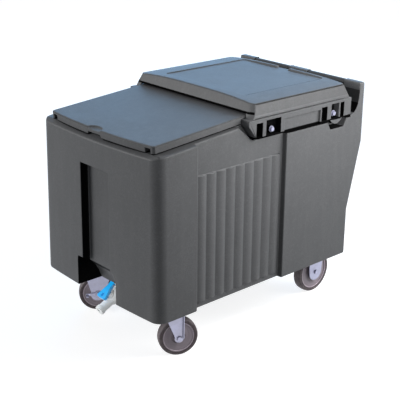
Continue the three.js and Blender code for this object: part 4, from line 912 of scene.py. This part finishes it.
def tyre(corner):
    """The tyre: a crowned tread, round shoulders and a beaded side."""
    inner, radius, half = wheel_reach(corner, "tyre")
    wheel = sizes("ice_bin_wheels")
    tread = half - wheel.shoulder
    bead = [
        (inner + 0.8 * MM, half), (inner + 3.2 * MM, half), (inner + 4.0 * MM, half - 0.7 * MM),
        (inner + 4.8 * MM, half)]
    centre = (radius - wheel.crown - wheel.shoulder, tread)
    shoulder = arc(centre, wheel.shoulder, 90, 0, 7)
    profile = [(inner, -half + 0.4 * MM), (inner, half - 0.4 * MM), *bead, *shoulder]
    half_steps = 4
    for step in range(1, 2 * half_steps):
        place = tread * (1 - step / half_steps)
        rise = wheel.crown * (1 - (place / tread) ** 2)
        profile.append((radius - wheel.crown + rise, place))
    profile += [(r, -y) for r, y in reversed([*bead, *shoulder])]
    return spun(profile, wheel.steps)


def wheel_core(corner):
    """The core: hub, sunk well, dished face with a groove, and the raised ring at the tyre, marked for a painted
    highlight.
    """
    wheel = sizes("ice_bin_wheels")
    bore, rim, reach = wheel_reach(corner, "wheel_core")
    half = wheel_reach(corner, "tyre")[2] - 0.3 * MM
    face = half - (wheel.dish if corner.startswith("front") else wheel.rear_dish)
    well = face - 3.6 * MM
    ring_top = half - wheel.ring_drop
    ring_in = rim - 0.3 * MM - wheel.ring
    groove = (wheel.hub_well + ring_in) / 2
    face_height = ring_top - 0.4 * MM
    hub = [
        (bore, reach - 0.5 * MM), (bore + 0.5 * MM, reach), (wheel.hub - 2.5 * MM, reach),
        (wheel.hub - 1.8 * MM, reach - 0.5 * MM), (wheel.hub - 0.8 * MM, half - 1.0 * MM),
        (wheel.hub + 0.2 * MM, well)]
    dish = [
        (wheel.hub_well - 1.6 * MM, well), (wheel.hub_well - 0.4 * MM, face - 0.8 * MM),
        (wheel.hub_well + 0.6 * MM, face), (groove - 1.1 * MM, face + 0.15 * MM),
        (groove - 0.5 * MM, face - 0.35 * MM), (groove + 0.5 * MM, face - 0.35 * MM),
        (groove + 1.1 * MM, face + 0.15 * MM), (ring_in - 1.4 * MM, face)]
    ring = [
        (ring_in - 0.5 * MM, face + 0.4 * MM), (ring_in, ring_top - 0.5 * MM),
        (ring_in + 0.5 * MM, ring_top), (rim - 0.7 * MM, ring_top), (rim, ring_top - 0.6 * MM)]
    side = [*hub, *dish, *ring]
    profile = side + [(r, -y) for r, y in reversed(side)]
    core = spun(profile, wheel.steps)
    # Painted highlight on the outer faces of the ring
    layer = core.faces.layers.float.new(PAINTED_HIGHLIGHT)
    for face in core.faces:
        middle = face.calc_center_median()
        if math.hypot(middle.x, middle.z) > ring_in and abs(middle.y) > face_height:
            face[layer] = 1.0
    return core


class ICEBIN_OT_wheels(bpy.types.Operator):
    """Make the four tyres and wheel cores"""

    bl_idname = "icebin.wheels"
    bl_label = "Wheels"

    def execute(self, context):
        for corner in CORNERS:
            place = wheel_place(corner)
            show(f"{corner}_tyre_finished", tyre(corner), [f"{corner}_tyre"], place)
            show(f"{corner}_core_finished", wheel_core(corner), [f"{corner}_wheel_core"], place)
        return {"FINISHED"}


class ICEBIN_OT_forks(bpy.types.Operator):
    """Round and finish the caster plates, forks, races and pins"""

    bl_idname = "icebin.forks"
    bl_label = "Forks and plates"

    def execute(self, context):
        for corner in CORNERS:
            broken(f"{corner}_fork_finished", f"{corner}_fork", 0.7 * MM)
            carried_over(f"{corner}_hub_sleeve")
        for corner in CORNERS[:2]:
            broken(f"{corner}_plate_finished", f"{corner}_plate", PRESSED_EDGE)
            broken(f"{corner}_race_finished", f"{corner}_ball_race", PRESSED_EDGE)
            broken(f"{corner}_kingpin_finished", f"{corner}_kingpin", PRESSED_EDGE)
        return {"FINISHED"}


class ICEBIN_OT_axles(bpy.types.Operator):
    """Make the axle bolts and nuts, and the brake lever"""

    bl_idname = "icebin.axles"
    bl_label = "Axles"

    def execute(self, context):
        wheel = sizes("ice_bin_wheels")
        for corner in CORNERS:
            place = wheel_place(corner)
            start, end = span(corner, "axle_bolt")
            neck = start + BOLT_HEAD_HEIGHT
            flip = Matrix.Translation((0, neck, 0)) @ Matrix.Rotation(math.pi, 4, "Z")
            bolt = gathered(
                moved(bolt_head(wheel.bolt_head), flip), shank(wheel.bolt, neck - BOLT_OVERLAP, end))
            show(f"{corner}_axle_bolt_finished", bolt, [f"{corner}_axle_bolt"], place)
            hexagon = nut(wheel.bolt_head, *span(corner, "axle_nut"))
            show(f"{corner}_axle_nut_finished", hexagon, [f"{corner}_axle_nut"], place)
        broken("brake_lever_finished", "front_right_brake_lever", PRESSED_EDGE)
        return {"FINISHED"}


class ICEBIN_OT_faucet(bpy.types.Operator):
    """Make the drain faucet and its lever"""

    bl_idname = "icebin.faucet"
    bl_label = "Faucet"

    def execute(self, context):
        edges = {
            "faucet_body": 1.2, "faucet_bonnet": 0.8, "faucet_plunger": 0.6, "faucet_lever": 1.0,
            "faucet_lever_pin": 0.4, "faucet_gasket": 0.4, "faucet_inner_washer": 0.3, "faucet_locknut": 1.0}
        for node, radius in edges.items():
            broken(f"{node}_finished", node, radius * MM)
        return {"FINISHED"}


class ICEBIN_OT_stage(bpy.types.Operator):
    """Set the floor, the lights and the camera"""

    bl_idname = "icebin.stage"
    bl_label = "Stage"

    def execute(self, context):
        studio = sizes("ice_bin_studio")
        self.floor(studio)
        self.world()
        self.lamps()
        self.camera(studio)
        context.scene.view_settings.view_transform = "Standard"
        return {"FINISHED"}

    def floor(self, studio):
        bm = bmesh.new()
        bmesh.ops.create_grid(bm, x_segments=8, y_segments=8, size=studio.floor / 2)
        mesh = bpy.data.meshes.new("studio_floor")
        bm.to_mesh(mesh)
        bm.free()
        floor = bpy.data.objects.new("studio_floor", mesh)
        bpy.context.scene.collection.objects.link(floor)
        stuff = Stuff("pale_floor")
        seen = stuff.seen()
        paint = stuff.mix(seen, shade(WHITE, FLOOR_BOUNCE), shade(WHITE, FLOOR_PAINT))
        glow = stuff.mix(seen, shade(WHITE, 0), shade(WHITE, FLOOR_GLOW))
        mesh.materials.append(stuff.surface(
            Base_Color=paint, Roughness=1.0, Specular_IOR_Level=0.0, Emission_Color=glow,
            Emission_Strength=1.0))

    def world(self):
        stuff = Stuff("studio_world", bpy.data.worlds)
        shown = stuff.node("ShaderNodeBackground", None, {"Color": (1, 1, 1, 1), "Strength": 1.0})
        light = stuff.node("ShaderNodeBackground", None, {"Color": (0.90, 0.95, 1.0, 1), "Strength": 0.28})
        both = stuff.node("ShaderNodeMixShader", None, {0: stuff.seen(), 1: light, 2: shown})
        stuff.node("ShaderNodeOutputWorld", None, {"Surface": both}, output=None)
        bpy.context.scene.world = stuff.made

    def lamps(self):
        """Two suns (strength, spread in degrees), three cards (size, power, tint) and a faucet spot."""
        self.sun("overhead", (0.45, -0.1, 1.0), 0.1, 50)
        self.sun("drain_end", (-0.75, 0.62, 0.22), 2.35, 25)
        self.card("long_side", (1.00, -1.20, 1.35), (0.1, -0.29, 0.45), (1.1, 1.1), 31)
        self.card("rim_strip", (0.18, -0.72, 0.85), (0.18, -0.29, 0.60), (0.95, 0.12), 4.4)
        self.card("back_sky", (3.0, 3.4, 2.3), (0, 0, 0), (4.0, 4.0), 115, (0.10, 0.50, 1.0))
        self.spot("faucet", (-1.15, -0.65, 0.55), (-0.47, -0.01, 0.185), 18, 13)

    def lamp(self, name, kind, place, target, tint=WHITE):
        data = bpy.data.lights.new(name, kind)
        data.color = tint
        lamp = bpy.data.objects.new(name, data)
        bpy.context.scene.collection.objects.link(lamp)
        lamp.location = place
        lamp.rotation_euler = (Vector(target) - Vector(place)).to_track_quat("-Z", "Y").to_euler()
        return data

    def sun(self, name, place, strength, spread):
        data = self.lamp(name, "SUN", place, (0, 0, 0))
        data.energy = strength
        data.angle = math.radians(spread)

    def card(self, name, place, target, size, power, tint=WHITE):
        data = self.lamp(name, "AREA", place, target, tint)
        data.shape = "RECTANGLE"
        data.size, data.size_y = size
        data.energy = power

    def spot(self, name, place, target, power, opening):
        data = self.lamp(name, "SPOT", place, target)
        data.energy = power
        data.spot_size = math.radians(opening)
        data.spot_blend = 1.0

    def camera(self, studio):
        data = bpy.data.cameras.new("photo_camera")
        data.sensor_width = studio.sensor
        data.lens = studio.focal_share * data.sensor_width
        data.shift_x = studio.shift_x
        data.shift_y = studio.shift_y
        camera = bpy.data.objects.new("photo_camera", data)
        bpy.context.scene.collection.objects.link(camera)
        turn, rise = studio.azimuth, studio.elevation
        back = Vector((math.sin(turn) * math.cos(rise), -math.cos(turn) * math.cos(rise), math.sin(rise)))
        right = UP.cross(back).normalized()
        top = back.cross(right)
        tilted_right = right * math.cos(studio.roll) + top * math.sin(studio.roll)
        tilted_top = top * math.cos(studio.roll) - right * math.sin(studio.roll)
        target = Vector((studio.target_x, 0, studio.target_z))
        axes = Matrix((tilted_right, tilted_top, back)).transposed().to_4x4()
        camera.matrix_world = Matrix.Translation(target + back * studio.distance) @ axes
        bpy.context.scene.camera = camera


OPERATORS = (
    ICEBIN_OT_finishes, ICEBIN_OT_tub, ICEBIN_OT_lid, ICEBIN_OT_hood, ICEBIN_OT_handle,
    ICEBIN_OT_hood_fastenings, ICEBIN_OT_wheels, ICEBIN_OT_forks, ICEBIN_OT_axles, ICEBIN_OT_faucet,
    ICEBIN_OT_stage)
GROUPS = {
    "ice_bin_shell": IceBinShellSizes, "ice_bin_wheels": IceBinWheelSizes, "ice_bin_colours": IceBinColours,
    "ice_bin_studio": IceBinStudio}


class ICEBIN_PT_sidebar(bpy.types.Panel):
    """Lists the steps and the sizes of the ice bin"""

    bl_idname = "ICEBIN_PT_sidebar"
    bl_label = "Mobile Ice Bin"
    bl_space_type = "VIEW_3D"
    bl_region_type = "UI"
    bl_category = "Ice Bin"

    def draw(self, context):
        for operator in OPERATORS:
            self.layout.operator(operator.bl_idname)
        for name, group in GROUPS.items():
            box = self.layout.box()
            for setting in group.__annotations__:
                box.prop(getattr(context.scene, name), setting)


def register():
    for group in GROUPS.values():
        bpy.utils.register_class(group)
    for operator in OPERATORS:
        bpy.utils.register_class(operator)
    bpy.utils.register_class(ICEBIN_PT_sidebar)
    for name, group in GROUPS.items():
        setattr(bpy.types.Scene, name, PointerProperty(type=group))


def unregister():
    for name in GROUPS:
        delattr(bpy.types.Scene, name)
    bpy.utils.unregister_class(ICEBIN_PT_sidebar)
    for operator in reversed(OPERATORS):
        bpy.utils.unregister_class(operator)
    for group in reversed(GROUPS.values()):
        bpy.utils.unregister_class(group)


def main():
    register()
    for operator in OPERATORS:
        section, name = operator.bl_idname.split(".")
        getattr(getattr(bpy.ops, section), name)()


if __name__ == "__main__":
    main()
